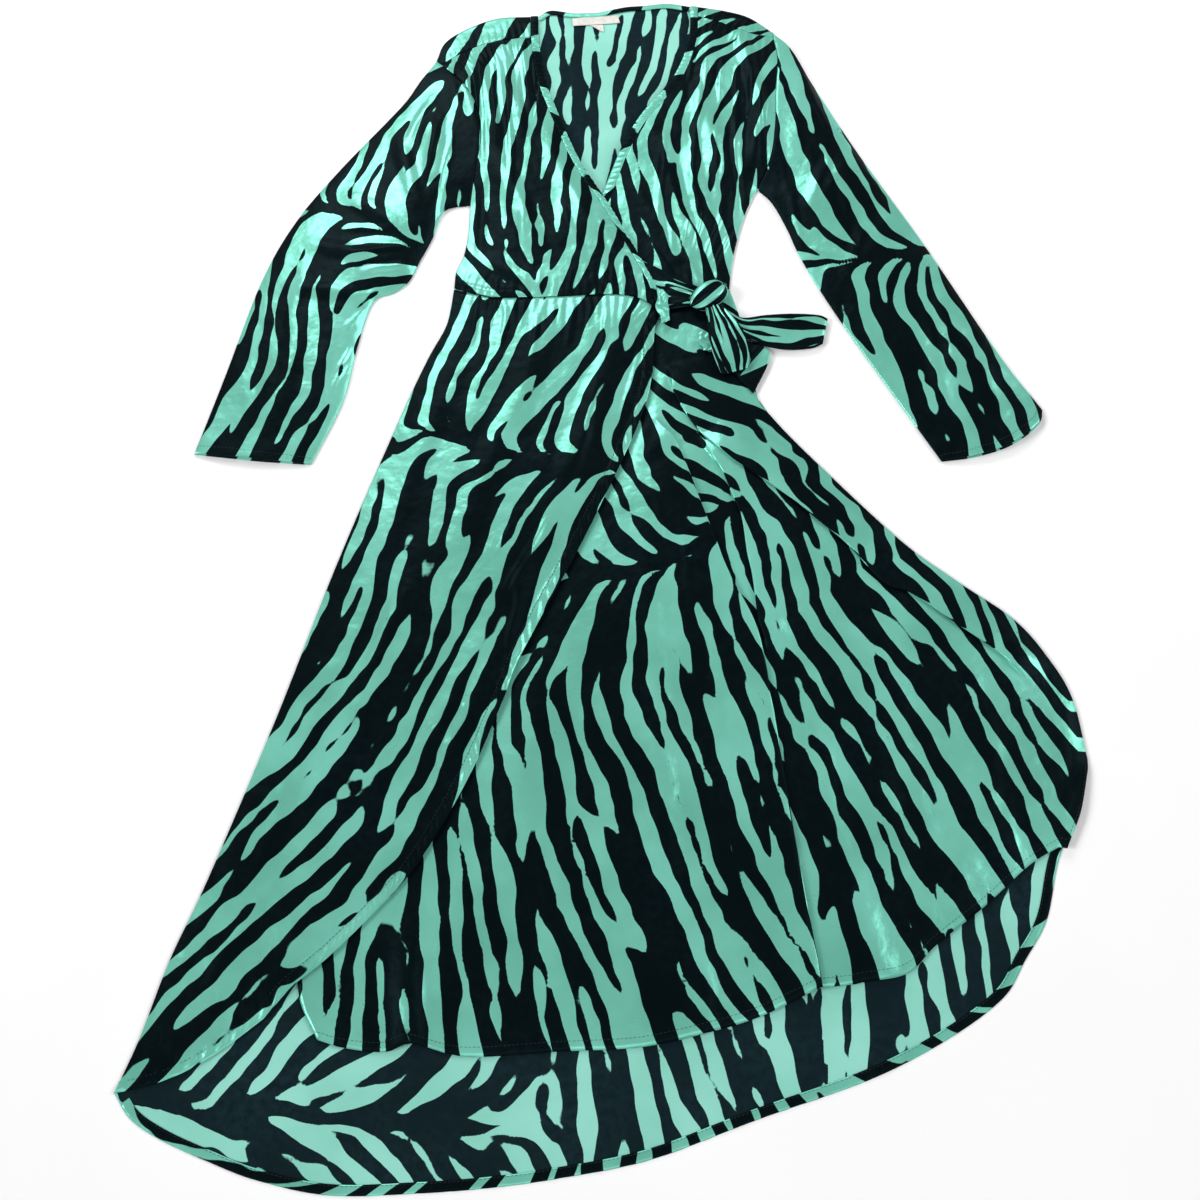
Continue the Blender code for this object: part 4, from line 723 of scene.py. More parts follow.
def grow_stripes(box, period, seed, above, spine=None, below=(), lean=1):
    """Stripes that grow out of noise: it is drawn out along them and sorted across them."""
    (x0, y0), (x1, y1) = box
    columns, rows = int((x1 - x0) / STEP) + 1, int((y1 - y0) / STEP) + 1
    gx, gy = np.meshgrid(x0 + STEP * np.arange(columns), y0 + STEP * np.arange(rows))
    xy = np.stack([gx, gy], -1)
    if spine is None:
        turn = directions(above, xy)
        ux, uy = np.cos(turn), np.sin(turn)
    else:
        line = resample(np.array(spine, float), 60)
        beside_spine, ux, uy = spine_ways(line, lean, above, below, xy)
    ci, cj = np.meshgrid(np.arange(columns, dtype=float), np.arange(rows, dtype=float))

    def index(px, py):
        i = np.clip(np.round(px), 0, columns - 1).astype(int)
        j = np.clip(np.round(py), 0, rows - 1).astype(int)
        return j * columns + i
    stride = period * WALK / WALK_STEPS / STEP
    walks, weights = [], []
    for sign in (1, -1):
        px, py, dx, dy = ci.copy(), cj.copy(), sign * ux, sign * uy
        for k in range(1, WALK_STEPS + 1):
            px, py = px + dx * stride, py + dy * stride
            there = index(px, py)
            nx, ny = ux.ravel()[there], uy.ravel()[there]
            flip = np.where(nx * dx + ny * dy < 0, -1.0, 1.0)
            dx, dy = nx * flip, ny * flip
            walks.append(there)
            weights.append(math.exp(-0.5 * (k / WALK_STEPS * WALK) ** 2))
    reach = np.linspace(-ACROSS, ACROSS, ACROSS_POINTS)
    bell = np.exp(-0.5 * (reach / BELL) ** 2)
    band = np.cos(2 * math.pi * reach) * bell
    band -= bell * band.sum() / bell.sum()
    sides = [index(ci - uy * period * s / STEP, cj + ux * period * s / STEP) for s in reach]

    def drawn_out(grid):
        flat = grid.ravel()
        total = flat.copy()
        for there, weight in zip(walks, weights):
            total = total + weight * flat[there].ravel()
        return (total / (1 + sum(weights))).reshape(rows, columns)

    def sorted_across(flat, wave):
        return sum(w * flat[there] for there, w in zip(sides, wave)).reshape(rows, columns)
    rng = np.random.default_rng(seed)
    grid = rng.standard_normal((rows, columns))
    for _ in range(ROUNDS):
        grid = blur(sorted_across(blur(drawn_out(grid)).ravel(), band))
        grid = grid / np.sqrt((grid ** 2).mean())
        result, grid = grid, np.tanh(SHARPEN * grid)
    # Straight flanks in place of round crests, so that stripes run out into points
    cell = period / STEP
    flat = blur(drawn_out(result)).ravel()
    crest = sorted_across(flat, band)
    flank = sorted_across(flat, np.sin(2 * math.pi * reach) * bell)
    crest = crest - LEVEL * soft(crest, LEVEL_SIZE * cell)
    clear = np.hypot(crest, flank)
    result = 1 - 2 * np.arctan2(np.abs(flank), crest) / math.pi
    result = result * ease(2 * clear / clear.mean())

    def long_noise(size, keep):
        noise = drawn_out(drawn_out(value_noise((rows, columns), size * cell, rng)))
        noise = noise - soft(noise, keep * cell)
        return noise / noise.std()
    result = result + SWELL * long_noise(*SWELL_SIZE) + FORKS * long_noise(*FORK_SIZE)
    result = blur(result + LUMP * value_noise((rows, columns), LUMP_SIZE / STEP, rng))
    if spine is not None:
        width, uneven, least = SPINE_WIDTH
        wander = uneven * value_noise((rows, columns), WARP_SIZE / STEP, rng)
        width = np.maximum(width + wander, least)
        result = result - SPINE_DARK * np.exp(-(beside_spine / width) ** 2)
    warps = [WARP / STEP * value_noise((rows, columns), WARP_SIZE / STEP, rng)
             + FINE_WARP * WARP / STEP * value_noise((rows, columns), LUMP_SIZE / STEP, rng)
             for _ in range(2)]
    return result, warps, (x0, y0)


FIELDS = {}


def print_at(panel, xy):
    """The print's value at points of a panel: black below PRINT_CUT, green above it."""
    if panel not in FIELDS:
        FIELDS[panel] = grow_stripes(**PRINT[panel])
    grid, warps, (x0, y0) = FIELDS[panel]
    px, py = (xy[..., 0] - x0) / STEP, (xy[..., 1] - y0) / STEP
    wx, wy = bilinear(warps[0], px, py), bilinear(warps[1], px, py)
    return bilinear(grid, px + wx, py + wy)


def printed(panel, xy, closed=False, less=0.0):
    """The print at the points of a grid, and in the middle of each of its meshes."""
    near, beyond = (xy, np.roll(xy, -1, axis=1)) if closed else (xy[:, :-1], xy[:, 1:])
    middles = (near[:-1] + near[1:] + beyond[1:] + beyond[:-1]) / 4
    return print_at(panel, xy) - less, print_at(panel, middles) - less


# ---- surfaces
def filled(top, bottom, left, right, ends, across, down):
    """A surface between four lines, at shares across it and down it."""
    u, v = np.asarray(across)[None, :, None], np.asarray(down)[:, None, None]
    (a, b), (c, d) = ends
    corners = (1 - v) * ((1 - u) * a + u * b) + v * ((1 - u) * c + u * d)
    return ((1 - v) * point_at(top, across)[None] + v * point_at(bottom, across)[None]
            + (1 - u) * left[:, None] + u * right[:, None] - corners)


def patch(top, bottom, left, right, across, down):
    ends = (top[0], top[-1]), (bottom[0], bottom[-1])
    return filled(top, bottom, point_at(left, down), point_at(right, down), ends, across, down)


def patch_rows(top, bottom, left, right, across):
    """The same, where the left and right lines hold one point for each row."""
    ends = (left[0], right[0]), (left[-1], right[-1])
    return filled(top, bottom, left, right, ends, across, np.linspace(0, 1, len(left)))


def between(name, corners):
    """A patch between four corners, and its shares across and down."""
    a, b, c, d = np.array(corners, float)
    across, down = shares(name)
    grid = patch(np.stack([a, b]), np.stack([d, c]), np.stack([a, d]), np.stack([b, c]),
                 across, down)
    return grid, across[None], down[:, None]


def inset(grid, amount=EDGE):
    moved = grid.copy()
    for edge, inner in ((np.s_[0], np.s_[1]), (np.s_[-1], np.s_[-2]),
                        (np.s_[:, 0], np.s_[:, 1]), (np.s_[:, -1], np.s_[:, -2])):
        way = grid[inner] - grid[edge]
        moved[edge] += amount * way / np.linalg.norm(way, axis=-1, keepdims=True)
    return moved


def shares(name):
    """Shares across and down a piece, one for each point of its grid."""
    return [np.linspace(0, 1, count) for count in GRIDS[name]]


def with_height(xy, z):
    return np.concatenate([xy, np.broadcast_to(z, xy.shape[:-1])[..., None]], -1)


def spread(start, end, count, dense=0.0):
    """Shares from start to end, closer together near both ends."""
    t = np.linspace(0, 1, count)
    return start + (end - start) * (t - dense * np.sin(2 * math.pi * t) / (2 * math.pi))


def link(name, data):
    added = bpy.data.objects.new(name, data)
    bpy.context.scene.collection.objects.link(added)
    return added


def add_mesh(name, points, faces, materials, values=()):
    mesh = bpy.data.meshes.new(name)
    shifted = (np.asarray(points, float) - (*ORIGIN, 0.0)) * MM
    mesh.from_pydata(shifted.tolist(), [], faces)
    mesh.polygons.foreach_set("use_smooth", np.ones(len(faces), bool))
    for material in materials:
        mesh.materials.append(material)
    for key, value in values:
        attribute = mesh.attributes.new(key, "FLOAT", "POINT")
        attribute.data.foreach_set("value", np.asarray(value, np.float32).ravel())
    mesh.update()
    return link(name, mesh)


def shell(name, points, stripes, middles=None, closed=False, cloth=CLOTH):
    """A cloth shell over a grid of points, with its right side's material and its wrong side's.

    Where the print is known in the middle of the meshes, each is cut along the diagonal that
    follows the print better.
    """
    rows, columns = points.shape[:2]
    index = np.arange(rows * columns).reshape(rows, columns)
    right = np.roll(index, -1, axis=1) if closed else index[:, 1:]
    left = index if closed else index[:, :-1]
    faces = np.stack([left[:-1], left[1:], right[1:], right[:-1]], -1).reshape(-1, 4)
    flat = points.reshape(-1, 3)
    a, b, c, d = (flat[faces[:, k]] for k in range(4))
    normals = np.cross(c - a, d - b)
    # A tube faces away from its middle, and any other shell upwards
    facing = normals * ((a + c) / 2 - flat.mean(0)) if closed else normals[:, 2]
    if facing.sum() <= 0:
        faces = faces[:, ::-1]
    if middles is not None:
        value, middle = np.asarray(stripes).ravel()[faces], middles.ravel()
        off = [np.abs((value[:, k] + value[:, k + 2]) / 2 - middle) for k in (0, 1)]
        halves = np.where((off[0] <= off[1])[:, None], (0, 1, 2, 0, 2, 3), (0, 1, 3, 1, 2, 3))
        faces = np.take_along_axis(faces, halves, axis=1).reshape(-1, 3)
    materials = MATERIALS[SLOTS.get(name, "satin_face")]
    piece = add_mesh(name, flat, faces.tolist(), materials, [("print", stripes)])
    wall = piece.modifiers.new("cloth", "SOLIDIFY")
    wall.thickness = cloth * MM
    wall.offset = 0.0
    wall.material_offset = 1
    wall.material_offset_rim = 0
    return piece


def ride(piece):
    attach(piece, "root")
    return piece


def finish(piece, with_pieces=()):
    """Attaches a piece of cloth to the root, and hides the node of the part that it stands for."""
    ride(piece)
    node, flat, area, *rests_on = SHEETS[piece.name]
    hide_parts(node)


def sheet(name, grid, z, panel, own=None, **more):
    """A printed piece. Its own places on the print are those of its grid, if it has no others."""
    stripes = printed(panel, grid if own is None else own)
    finish(shell(name, with_height(grid, z), *stripes, **more))


def stitches(name, paths, thread):
    """Rows of small stitches, each a rounded grain of thread that lies along its path."""
    points, faces, sides = [], [], 5
    ring = [(math.cos(2 * math.pi * k / sides), math.sin(2 * math.pi * k / sides))
            for k in range(sides)]
    for path in paths:
        along = lengths(path)
        count = max(int(along[-1] / STITCH_PITCH), 1)
        centres = point_at(path, (np.arange(count) + 0.5) / count)
        for centre, way in zip(centres, tangents(centres)):
            way = way / np.linalg.norm(way)
            side = np.cross((0, 0, 1), way)
            side /= np.linalg.norm(side)
            lift = np.cross(way, side)
            base = len(points)
            for share, radius in STITCH_PROFILE:
                middle = centre + way * share * STITCH_LENGTH
                if radius == 0.0:
                    points.append(middle)
                    continue
                for cosine, sine in ring:
                    spoke = side * cosine + lift * sine
                    points.append(middle + STITCH_THICK / 2 * radius * spoke)
            rings = [[base + 1 + sides * r + k for k in range(sides)] for r in range(3)]
            last = base + 1 + 3 * sides
            for k in range(sides):
                n = (k + 1) % sides
                faces.append((base, rings[0][n], rings[0][k]))
                for r in range(2):
                    faces.append((rings[r][k], rings[r][n], rings[r + 1][n], rings[r + 1][k]))
                faces.append((rings[2][k], rings[2][n], last))
    ride(add_mesh(name, np.array(points), faces, [thread]))


# ---- materials
class Graph:
    """Small helper that adds nodes to a material and joins them."""

    def __init__(self, name):
        self.material = bpy.data.materials.new(name)
        self.material.use_nodes = True
        self.tree = self.material.node_tree
        self.shader = self.tree.nodes["Principled BSDF"]
        self.place = self.add("TexCoord").outputs["Object"]

    def feed(self, node, inputs):
        for key, value in dict(inputs).items():
            if isinstance(value, bpy.types.NodeSocket):
                self.tree.links.new(value, node.inputs[key])
            else:
                node.inputs[key].default_value = value

    def add(self, kind, inputs=(), **settings):
        node = self.tree.nodes.new("ShaderNode" + kind)
        for key, value in settings.items():
            setattr(node, key, value)
        self.feed(node, inputs)
        return node

    def maths(self, operation, a, b=0.0, c=0.0):
        return self.add("Math", {0: a, 1: b, 2: c}, operation=operation).outputs[0]

    def mix(self, share, a, b):
        return self.add("Mix", {0: share, 6: a, 7: b}, data_type="RGBA").outputs[2]

    def noise(self, scale, detail=2.0, roughness=0.5):
        inputs = {"Scale": scale, "Detail": detail, "Roughness": roughness, "Vector": self.place}
        return self.add("TexNoise", inputs).outputs["Fac"]

    def wave(self, way, scale, distortion, detail=2.0):
        inputs = {"Scale": scale, "Distortion": distortion, "Detail": detail, "Vector": self.place}
        return self.add("TexWave", inputs, wave_type="BANDS", bands_direction=way).outputs["Fac"]

    def bump(self, height, strength, distance, **inputs):
        inputs = {"Height": height, "Strength": strength, "Distance": distance, **inputs}
        return self.add("Bump", inputs).outputs["Normal"]

    def remap(self, value, low, high, to_low=0.0, to_high=1.0):
        inputs = {"Value": value, "From Min": low, "From Max": high, "To Min": to_low,
                  "To Max": to_high}
        return self.add("MapRange", inputs, interpolation_type="SMOOTHSTEP").outputs["Result"]

    def shaded(self, inputs):
        self.feed(self.shader, inputs)
        return self.material


def linear(rgb):
    """Linear colour of an 8-bit one."""
    share = np.array(rgb, float) / 255
    return (*np.where(share <= 0.04045, share / 12.92, ((share + 0.055) / 1.055) ** 2.4), 1.0)


def printed_satin(name, greens, blacks, roughness, shine, twill, ripples):
    """Satin with the printed stripes: painted sheen lightens its colours in broad soft patches, and
    a fine twill catches the light.

    The green threads shine in their own colour; the printed black is duller.
    """
    g = Graph(name)
    greens, blacks = [[linear(colour) for colour in pair] for pair in (greens, blacks)]
    value = g.add("Attribute", attribute_name="print").outputs["Fac"]
    fray = g.maths("MULTIPLY_ADD", g.noise(260.0, 3.0, 0.6), 0.06, -0.03)
    value = g.maths("SUBTRACT", g.maths("ADD", value, fray), PRINT_CUT)
    ink = g.remap(value, -0.035, 0.035)
    # Painted sheen: broad soft patches where the greens and blacks turn to their lighter colour
    painted_sheen = g.remap(g.noise(9.0, 3.0, 0.55), 0.3, 0.7)
    mottle = g.remap(g.noise(120.0, 2.0, 0.6), 0.3, 0.7)
    green = g.mix(painted_sheen, *greens)
    # The black turns lighter where its random mottle and the painted sheen are both high
    black = g.mix(g.maths("MULTIPLY", mottle, painted_sheen), *blacks)
    # Ink is a little thinner at the stripes' edges
    edge = g.remap(g.maths("ABSOLUTE", value), 0.0, 0.30, 0.35, 0.0)
    black = g.mix(edge, black, blacks[1])
    # Fine diagonal twill, broken up by noise, on soft ripples
    weave = g.maths("MULTIPLY_ADD", g.wave("DIAGONAL", 420.0, 1.2, 1.0), 0.6,
                    g.maths("MULTIPLY", g.noise(1400.0, 2.0, 0.6), 0.5))
    waves = g.maths("ADD", g.noise(70.0), g.maths("MULTIPLY", g.noise(26.0), 1.6))
    rough = g.maths("MULTIPLY_ADD", g.noise(45.0), 0.14, roughness - 0.07)
    return g.shaded({
        "Base Color": g.mix(ink, black, green),
        "Normal": g.bump(waves, ripples, 0.0022, Normal=g.bump(weave, twill, 0.0002)),
        "Roughness": g.maths("MULTIPLY_ADD", ink, -0.14, g.maths("ADD", rough, 0.14)),
        "Metallic": g.maths("MULTIPLY", ink, shine),
        "Specular IOR Level": 0.08, "Specular Tint": (0.4, 0.9, 1.0, 1.0)})


def woven(name, colour, shade):
    """Plain woven cloth for the label, with its crossing threads."""
    g = Graph(name)
    threads = g.maths("MULTIPLY", *(g.wave(way, 900.0, 0.5) for way in ("X", "Y")))
    uneven = g.remap(g.noise(160.0, 3.0, 0.6), 0.3, 0.7)
    share = g.maths("MULTIPLY_ADD", threads, 0.5, g.maths("MULTIPLY", uneven, 0.5))
    return g.shaded({"Base Color": g.mix(share, linear(shade), linear(colour)),
                     "Normal": g.bump(threads, 0.5, 0.0002),
                     "Roughness": g.maths("MULTIPLY_ADD", uneven, 0.1, 0.8)})


def thread_material(name, colour, shade):
    g = Graph(name)
    twist = g.wave("DIAGONAL", 1500.0, 2.0)
    return g.shaded({"Base Color": g.mix(twist, linear(shade), linear(colour)),
                     "Normal": g.bump(twist, 0.6, 0.0001),
                     "Roughness": g.maths("MULTIPLY_ADD", g.noise(600.0), 0.2, 0.4)})


def floor_material():
    g = Graph("floor")
    tone = g.remap(g.noise(3.0, 3.0), 0.3, 0.7)
    return g.shaded({"Base Color": g.mix(tone, (0.94, 0.94, 0.94, 1), (0.96, 0.96, 0.96, 1)),
                     "Roughness": g.maths("MULTIPLY_ADD", tone, 0.05, 0.85),
                     "Specular IOR Level": 0.2})


# Each pair: the print's colour, then a lighter one for the painted sheen
FACE = printed_satin("satin_face", ((114, 196, 174), (131, 217, 196)), ((3, 9, 11), (7, 16, 20)),
                     roughness=0.30, shine=0.36, twill=0.25, ripples=0.45)
REVERSE = printed_satin("satin_reverse", ((134, 204, 187), (148, 216, 200)),
                        ((14, 28, 33), (22, 40, 46)),
                        roughness=0.66, shine=0.05, twill=0.4, ripples=0.25)
PAPER = woven("label_cloth", (238, 236, 230), (205, 202, 196))
BLACK_THREAD = thread_material("black_thread", (30, 34, 38), (10, 13, 16))

# Slots of the pieces that don't show the print's right side, and each slot's two materials
SLOTS = {"back_bodice_cloth": "satin_reverse", "back_skirt_cloth": "satin_reverse",
         "neck_label": "label_cloth", "neck_tab": "label_cloth"}
MATERIALS = {"satin_face": (FACE, REVERSE), "satin_reverse": (REVERSE, FACE),
             "label_cloth": (PAPER, PAPER)}
# Node that a piece stands for, its cloth's flat size in metres, its area in square metres where
# that isn't the whole rectangle, and what it rests on
SHEETS = {
    "back_bodice_cloth": ("bodice_back", (0.43, 0.44), 0.152, "floor"),
    "right_bodice_cloth": ("bodice_front_right", (0.29, 0.41), 0.055, "left_bodice_cloth",
                           "back_bodice_cloth"),
    "left_bodice_cloth": ("bodice_front_left", (0.34, 0.42), 0.066, "back_bodice_cloth"),
    "right_yoke_cloth": ("yoke_right", (0.13, 0.045), 0.0044, "back_bodice_cloth"),
    "left_yoke_cloth": ("yoke_left", (0.11, 0.03), 0.0021, "back_bodice_cloth"),
    "right_neck_band": ("neck_band_right", (0.011, 0.46), None, "back_bodice_cloth"),
    "left_neck_band": ("neck_band_left", (0.011, 0.46), None, "back_bodice_cloth"),
    "back_neck_band": ("neck_band_back", (0.21, 0.01), 0.0014, "back_bodice_cloth"),
    "right_sleeve_cloth": ("sleeve_right", (0.46, 0.60), 0.163, "floor"),
    "left_sleeve_cloth": ("sleeve_left", (0.46, 0.60), 0.148, "floor"),
    "back_skirt_cloth": ("skirt_back", (1.05, 1.12), 0.69, "floor"),
    "back_hem": ("hem_back", (0.011, 1.25), None, "back_skirt_cloth"),
    "right_skirt_cloth": ("skirt_front_right", (0.5, 1.02), 0.208, "left_skirt_cloth"),
    "left_skirt_cloth": ("skirt_front_left", (0.95, 1.0), 0.543, "back_skirt_cloth"),
    "side_loop": ("tie_loop_side", (0.046, 0.27), 0.0090, "left_skirt_cloth"),
    "low_loop": ("tie_loop_low", (0.045, 0.19), 0.0067, "left_skirt_cloth"),
    "tie_start": ("tie_strap", (0.07, 0.07), 0.0022, "left_bodice_cloth"),
    "tie_end": ("tie_tail", (0.05, 0.08), 0.0026, "left_skirt_cloth"),
    "tie_turn": ("tie_knot", (0.06, 0.07), 0.0034, "tie_start"),
    "neck_label": ("label", (0.061, 0.0125), None, "back_bodice_cloth"),
    "neck_tab": ("label_tab", (0.016, 0.0105), 0.0001, "back_bodice_cloth"),
}
STITCH_PITCH, STITCH_LENGTH, STITCH_THICK = 4.4, 3.1, 0.5
STITCH_PROFILE = ((-0.5, 0.0), (-0.36, 0.8), (0.0, 1.0), (0.36, 0.8), (0.5, 0.0))


# ---- bodice
BAND_MESH, BAND_SHIRRING = 1.35, 7.5        # spacing of a neck band's meshes, and of its shirring
BAND_ROLL = ((0, 0.25, 0.6, 1), (0.6, 1.0, 0.9, 0.3))   # share across it, share of the height
BACK_BAND_PRINT = (250, 205)        # where the back band starts on its print, and its length
YOKE_PRINT = ((0.6, 40), (0.9, 560))        # how the yoke's print is scaled and placed


def armhole(side):
    tip = LINE["shoulder_" + side][{"r": np.s_[:1], "l": np.s_[-1:]}[side]]
    return join(tip, LINE["armhole_" + side])


def neck_rims():
    waist = LINE["waist_over"]
    inner_r = beside(LINE["neck_edge_r"], -NECK_BAND)
    inner_r = pin(inner_r, inner_r[0], point_at(waist, 1 - RIGHT_BAND_STOP / lengths(waist)[-1]))
    inner_l = beside(LINE["neck_edge_l"], NECK_BAND)
    inner_l = pin(inner_l, inner_l[0], point_at(LINE["waist_under"], LEFT_BAND_SHARE))
    return inner_r, inner_l


def bodice_back():
    top = join(LINE["shoulder_r"], LINE["neck_back"], LINE["shoulder_l"])
    left, right = (join(LINE["armhole_" + side], LINE["side_" + side]) for side in "rl")
    top = pin(top, left[0], right[0])
    grid = inset(patch(top, LINE["waist_back"], left, right, *shares("back_bodice")),
                 BACK_BODICE_EDGE)
    sheet("back_bodice_cloth", grid, back_surface(grid), "bodice_back")


def front(side, surface, sides):
    columns, rows = GRIDS[side + "_bodice"]
    grid = inset(patch(*sides, spread(0, 1, columns, 0.3), spread(0, 1, rows, 0.5)))
    z = surface(grid) - seam_dip(grid, ["yoke_" + side[0], "armhole_" + side[0]])
    sheet(side + "_bodice_cloth", grid, z, "bodice_" + side)


def yoke(side, surface, seam, left, right):
    shoulder = pin(LINE["shoulder_" + side[0]], left[0], right[0])
    grid = inset(patch(shoulder, seam, left, right, *shares("yoke")))
    z = surface(grid) - seam_dip(grid, ["yoke_" + side[0]], 0.6, 2.0)
    # The yoke's print runs across the gathers below it
    (wide, x), (tall, y) = YOKE_PRINT
    turned = np.stack([grid[..., 0] * wide + x, y + (grid[..., 1] - y) * tall], -1)
    sheet(side + "_yoke_cloth", grid, z, "bodice_" + side, turned)


def bodice_fronts():
    inner_r, inner_l = neck_rims()
    seam, waist = LINE["yoke_r"], LINE["waist_over"]
    meet = share_near(inner_r, seam[-1])
    top = pin(seam, seam[0], point_at(inner_r, meet))
    bottom = pin(cut(waist, 0, share_near(waist, inner_r[-1])), waist[0], inner_r[-1])
    sides = (top, bottom, join(LINE["armhole_r"], LINE["side_r"]), cut(inner_r, meet, 1))
    front("right", over_surface, sides)
    yoke("right", over_surface, top, np.linspace(LINE["shoulder_r"][0], top[0], SAMPLES),
         cut(inner_r, 0, meet))
    seam, waist = LINE["yoke_l"], LINE["waist_under"]
    meet = share_near(inner_l, seam[0])
    top = pin(seam, point_at(inner_l, meet), seam[-1])
    bottom = pin(cut(waist, share_near(waist, inner_l[-1]), 1), inner_l[-1], waist[-1])
    sides = (top, bottom, cut(inner_l, meet, 1), join(LINE["armhole_l"], LINE["side_l"]))
    front("left", under_surface, sides)
    yoke("left", under_surface, top, cut(inner_l, 0, meet),
         np.linspace(LINE["shoulder_l"][-1], top[-1], SAMPLES))


def binding(side, inner, surface, waves, depth, shift):
    """A narrow binding with gathers across it and a rounded section."""
    outer = LINE["neck_edge_" + side[0]]
    span = lengths(outer)[-1]
    share, across = np.linspace(0, 1, int(span / BAND_MESH)), np.linspace(0, 1, 9)
    grid = inset(patch(np.stack([outer[0], inner[0]]), np.stack([outer[-1], inner[-1]]),
                       outer, inner, across, share))
    # Gathers of three lengths, none of them even
    wave = np.sin(2 * math.pi * waves * share + 1.3 * np.sin(9 * share))
    wave += 0.5 * np.sin(2 * math.pi * waves * 2.3 * share + 2 * np.sin(5 * share))
    wave += 1.4 * np.sin(2 * math.pi * span / BAND_SHIRRING * share + 3 * np.sin(7 * share))
    fade = rise(share * 20) * rise((1 - share) * 20)
    rolled = np.interp(across, *BAND_ROLL)
    puff = 0.7 * np.sin(math.pi * np.clip(across * 0.94 + 0.06, 0, 1)) ** 0.6
    z = surface(grid) + depth * (wave * fade)[:, None] * rolled + depth + puff[None]
    own = np.stack(np.broadcast_arrays((share * span + shift)[:, None], across * 10 - 5), -1)
    sheet(side + "_neck_band", grid, z, "band", own)


def neck_bindings():
    inner_r, inner_l = neck_rims()
    binding("right", inner_r, over_surface, *RIGHT_BAND_GATHERS, 0.0)
    binding("left", inner_l, under_surface, *LEFT_BAND_GATHERS, 40.0)
    top = beside(LINE["neck_back"], -0.5)
    bottom = pin(beside(LINE["neck_back"], -BACK_BAND - 1), top[0] + (3, -6), top[-1] + (-3, -7))
    sides = [np.linspace(top[k], bottom[k], SAMPLES) for k in (0, -1)]
    across, down = shares("back_band")
    grid = patch(top, bottom, *sides, across, down)
    start, length = BACK_BAND_PRINT
    own = np.stack(np.broadcast_arrays(across * length + start, down[:, None] * 6), -1)
    z = REST - 0.1 + 0.5 * np.sin(math.pi * down)[:, None] + 0.05 * ripple(grid, "fine")
    sheet("back_neck_band", grid, z, "band", own)


# ---- sleeves
# Gathers across a sleeve's head, how high they are, and how far down they run
HEAD_GATHERS, HEAD_HEIGHT, HEAD_REACH = 17, 0.7, 26
HEAD_SHARE = 0.16                   # share of the length in which a sleeve leaves the bodice
EDGE_CALM, CUFF_HEM = 12, 10


def sleeve(side, body_height):
    """A flattened tube: flat underneath, full and creased on top, folded along both edges."""
    outer, inner, cuff = (LINE[line + side] for line in ("sleeve_out_", "sleeve_in_", "cuff_"))
    rows = spread(0, 1, SLEEVE_ROWS, 0.2)
    under, over, turn_count = SLEEVE_RING
    widths = np.linalg.norm(point_at(outer, rows) - point_at(inner, rows), axis=1)
    layer, seam = "sleeve_" + side, armhole(side)
    low, high = BOTTOM, WALL / 2 + 2 * BEND
    middle, half = (low + high) / 2, (high - low) / 2
    bend = np.radians(np.linspace(-90, 90, turn_count + 2)[1:-1])
    side_heights = middle + half * np.sin(bend)
    top = np.s_[under + turn_count:under + turn_count + over]
    span = lengths(outer)[-1]
    ring = []
    for v, width in zip(rows, widths):
        edge = (BEND + WALL / 2) / width
        lower, upper = np.linspace(1 - edge, edge, under), np.linspace(edge, 1 - edge, over)
        round_left = edge * (1 - np.cos(bend) * 0.8)
        across = np.concatenate([lower, round_left, upper, 1 - round_left[::-1]])
        heights = np.concatenate([np.full(under, low), side_heights, np.full(over, high),
                                  side_heights[::-1]])
        xy = patch(seam, cuff, outer, inner, across, (v,))[0]
        full = np.interp(v, *np.array(SLEEVE_FULLNESS).T)
        share = (upper - edge) / (1 - 2 * edge)
        dome = np.sin(math.pi * np.clip(share, 0, 1))
        arch = full * dome ** 0.75 + folds(layer, xy[top]) * dome
        calm = ease(share * width / EDGE_CALM) * ease((1 - share) * width / EDGE_CALM)
        arch += (creases(layer, xy[top]) + 0.4 * ripple(xy[top], "mid")
                 + 0.2 * ripple(xy[top], "fine")) * calm
        # Gathers of the sleeve's head, which fade down its length
        head = np.cos(2 * math.pi * upper * HEAD_GATHERS + 2.0 * ripple(xy[top], "broad"))
        arch += HEAD_HEIGHT * head * math.exp(-(v * span / HEAD_REACH) ** 2) * calm
        own = high + arch
        met = np.maximum(body_height(xy[top]), high)
        heights[top] = met + (own - met) * ease(v / HEAD_SHARE)
        heights[top] -= SEAM_DIP * math.exp(-(v * span / SEAM_HALF) ** 2)
        ring.append(with_height(xy, heights))
    ring = np.array(ring)
    for edge, inside in ((0, 1), (-1, -2)):
        way = ring[inside, :, :2] - ring[edge, :, :2]
        ring[edge, :, :2] += EDGE * way / np.linalg.norm(way, axis=1)[:, None]
    name = {"r": "right", "l": "left"}[side]
    finish(shell(name + "_sleeve_cloth", ring,
                 *printed("sleeve_" + name, ring[..., :2], closed=True), closed=True))
    last = int(np.argmin(np.abs((1 - rows) * span - CUFF_HEM)))
    return ring[last][top] + (0, 0, CLOTH / 2 + 0.08)


# ---- skirt
TURNED_EDGE = (0.35, 13, 4)         # the wrap's turned edge: height, width, slope
STITCH_DIP = (0.5, 12, 1.8)         # its stitch line: depth, how far in, half width
PUCKERS = (0.85, 7, 5, 19)          # its puckers: height, how far in, half width, spacing
HEM_ENDS, HEM_STITCH_ENDS = (0.01, 0.99), (0.02, 0.98)
HEM_SECTION = ((0, 0.2, 0.8, 1), (0.75, 0.9, 0.9, 0.35))        # share across it, height


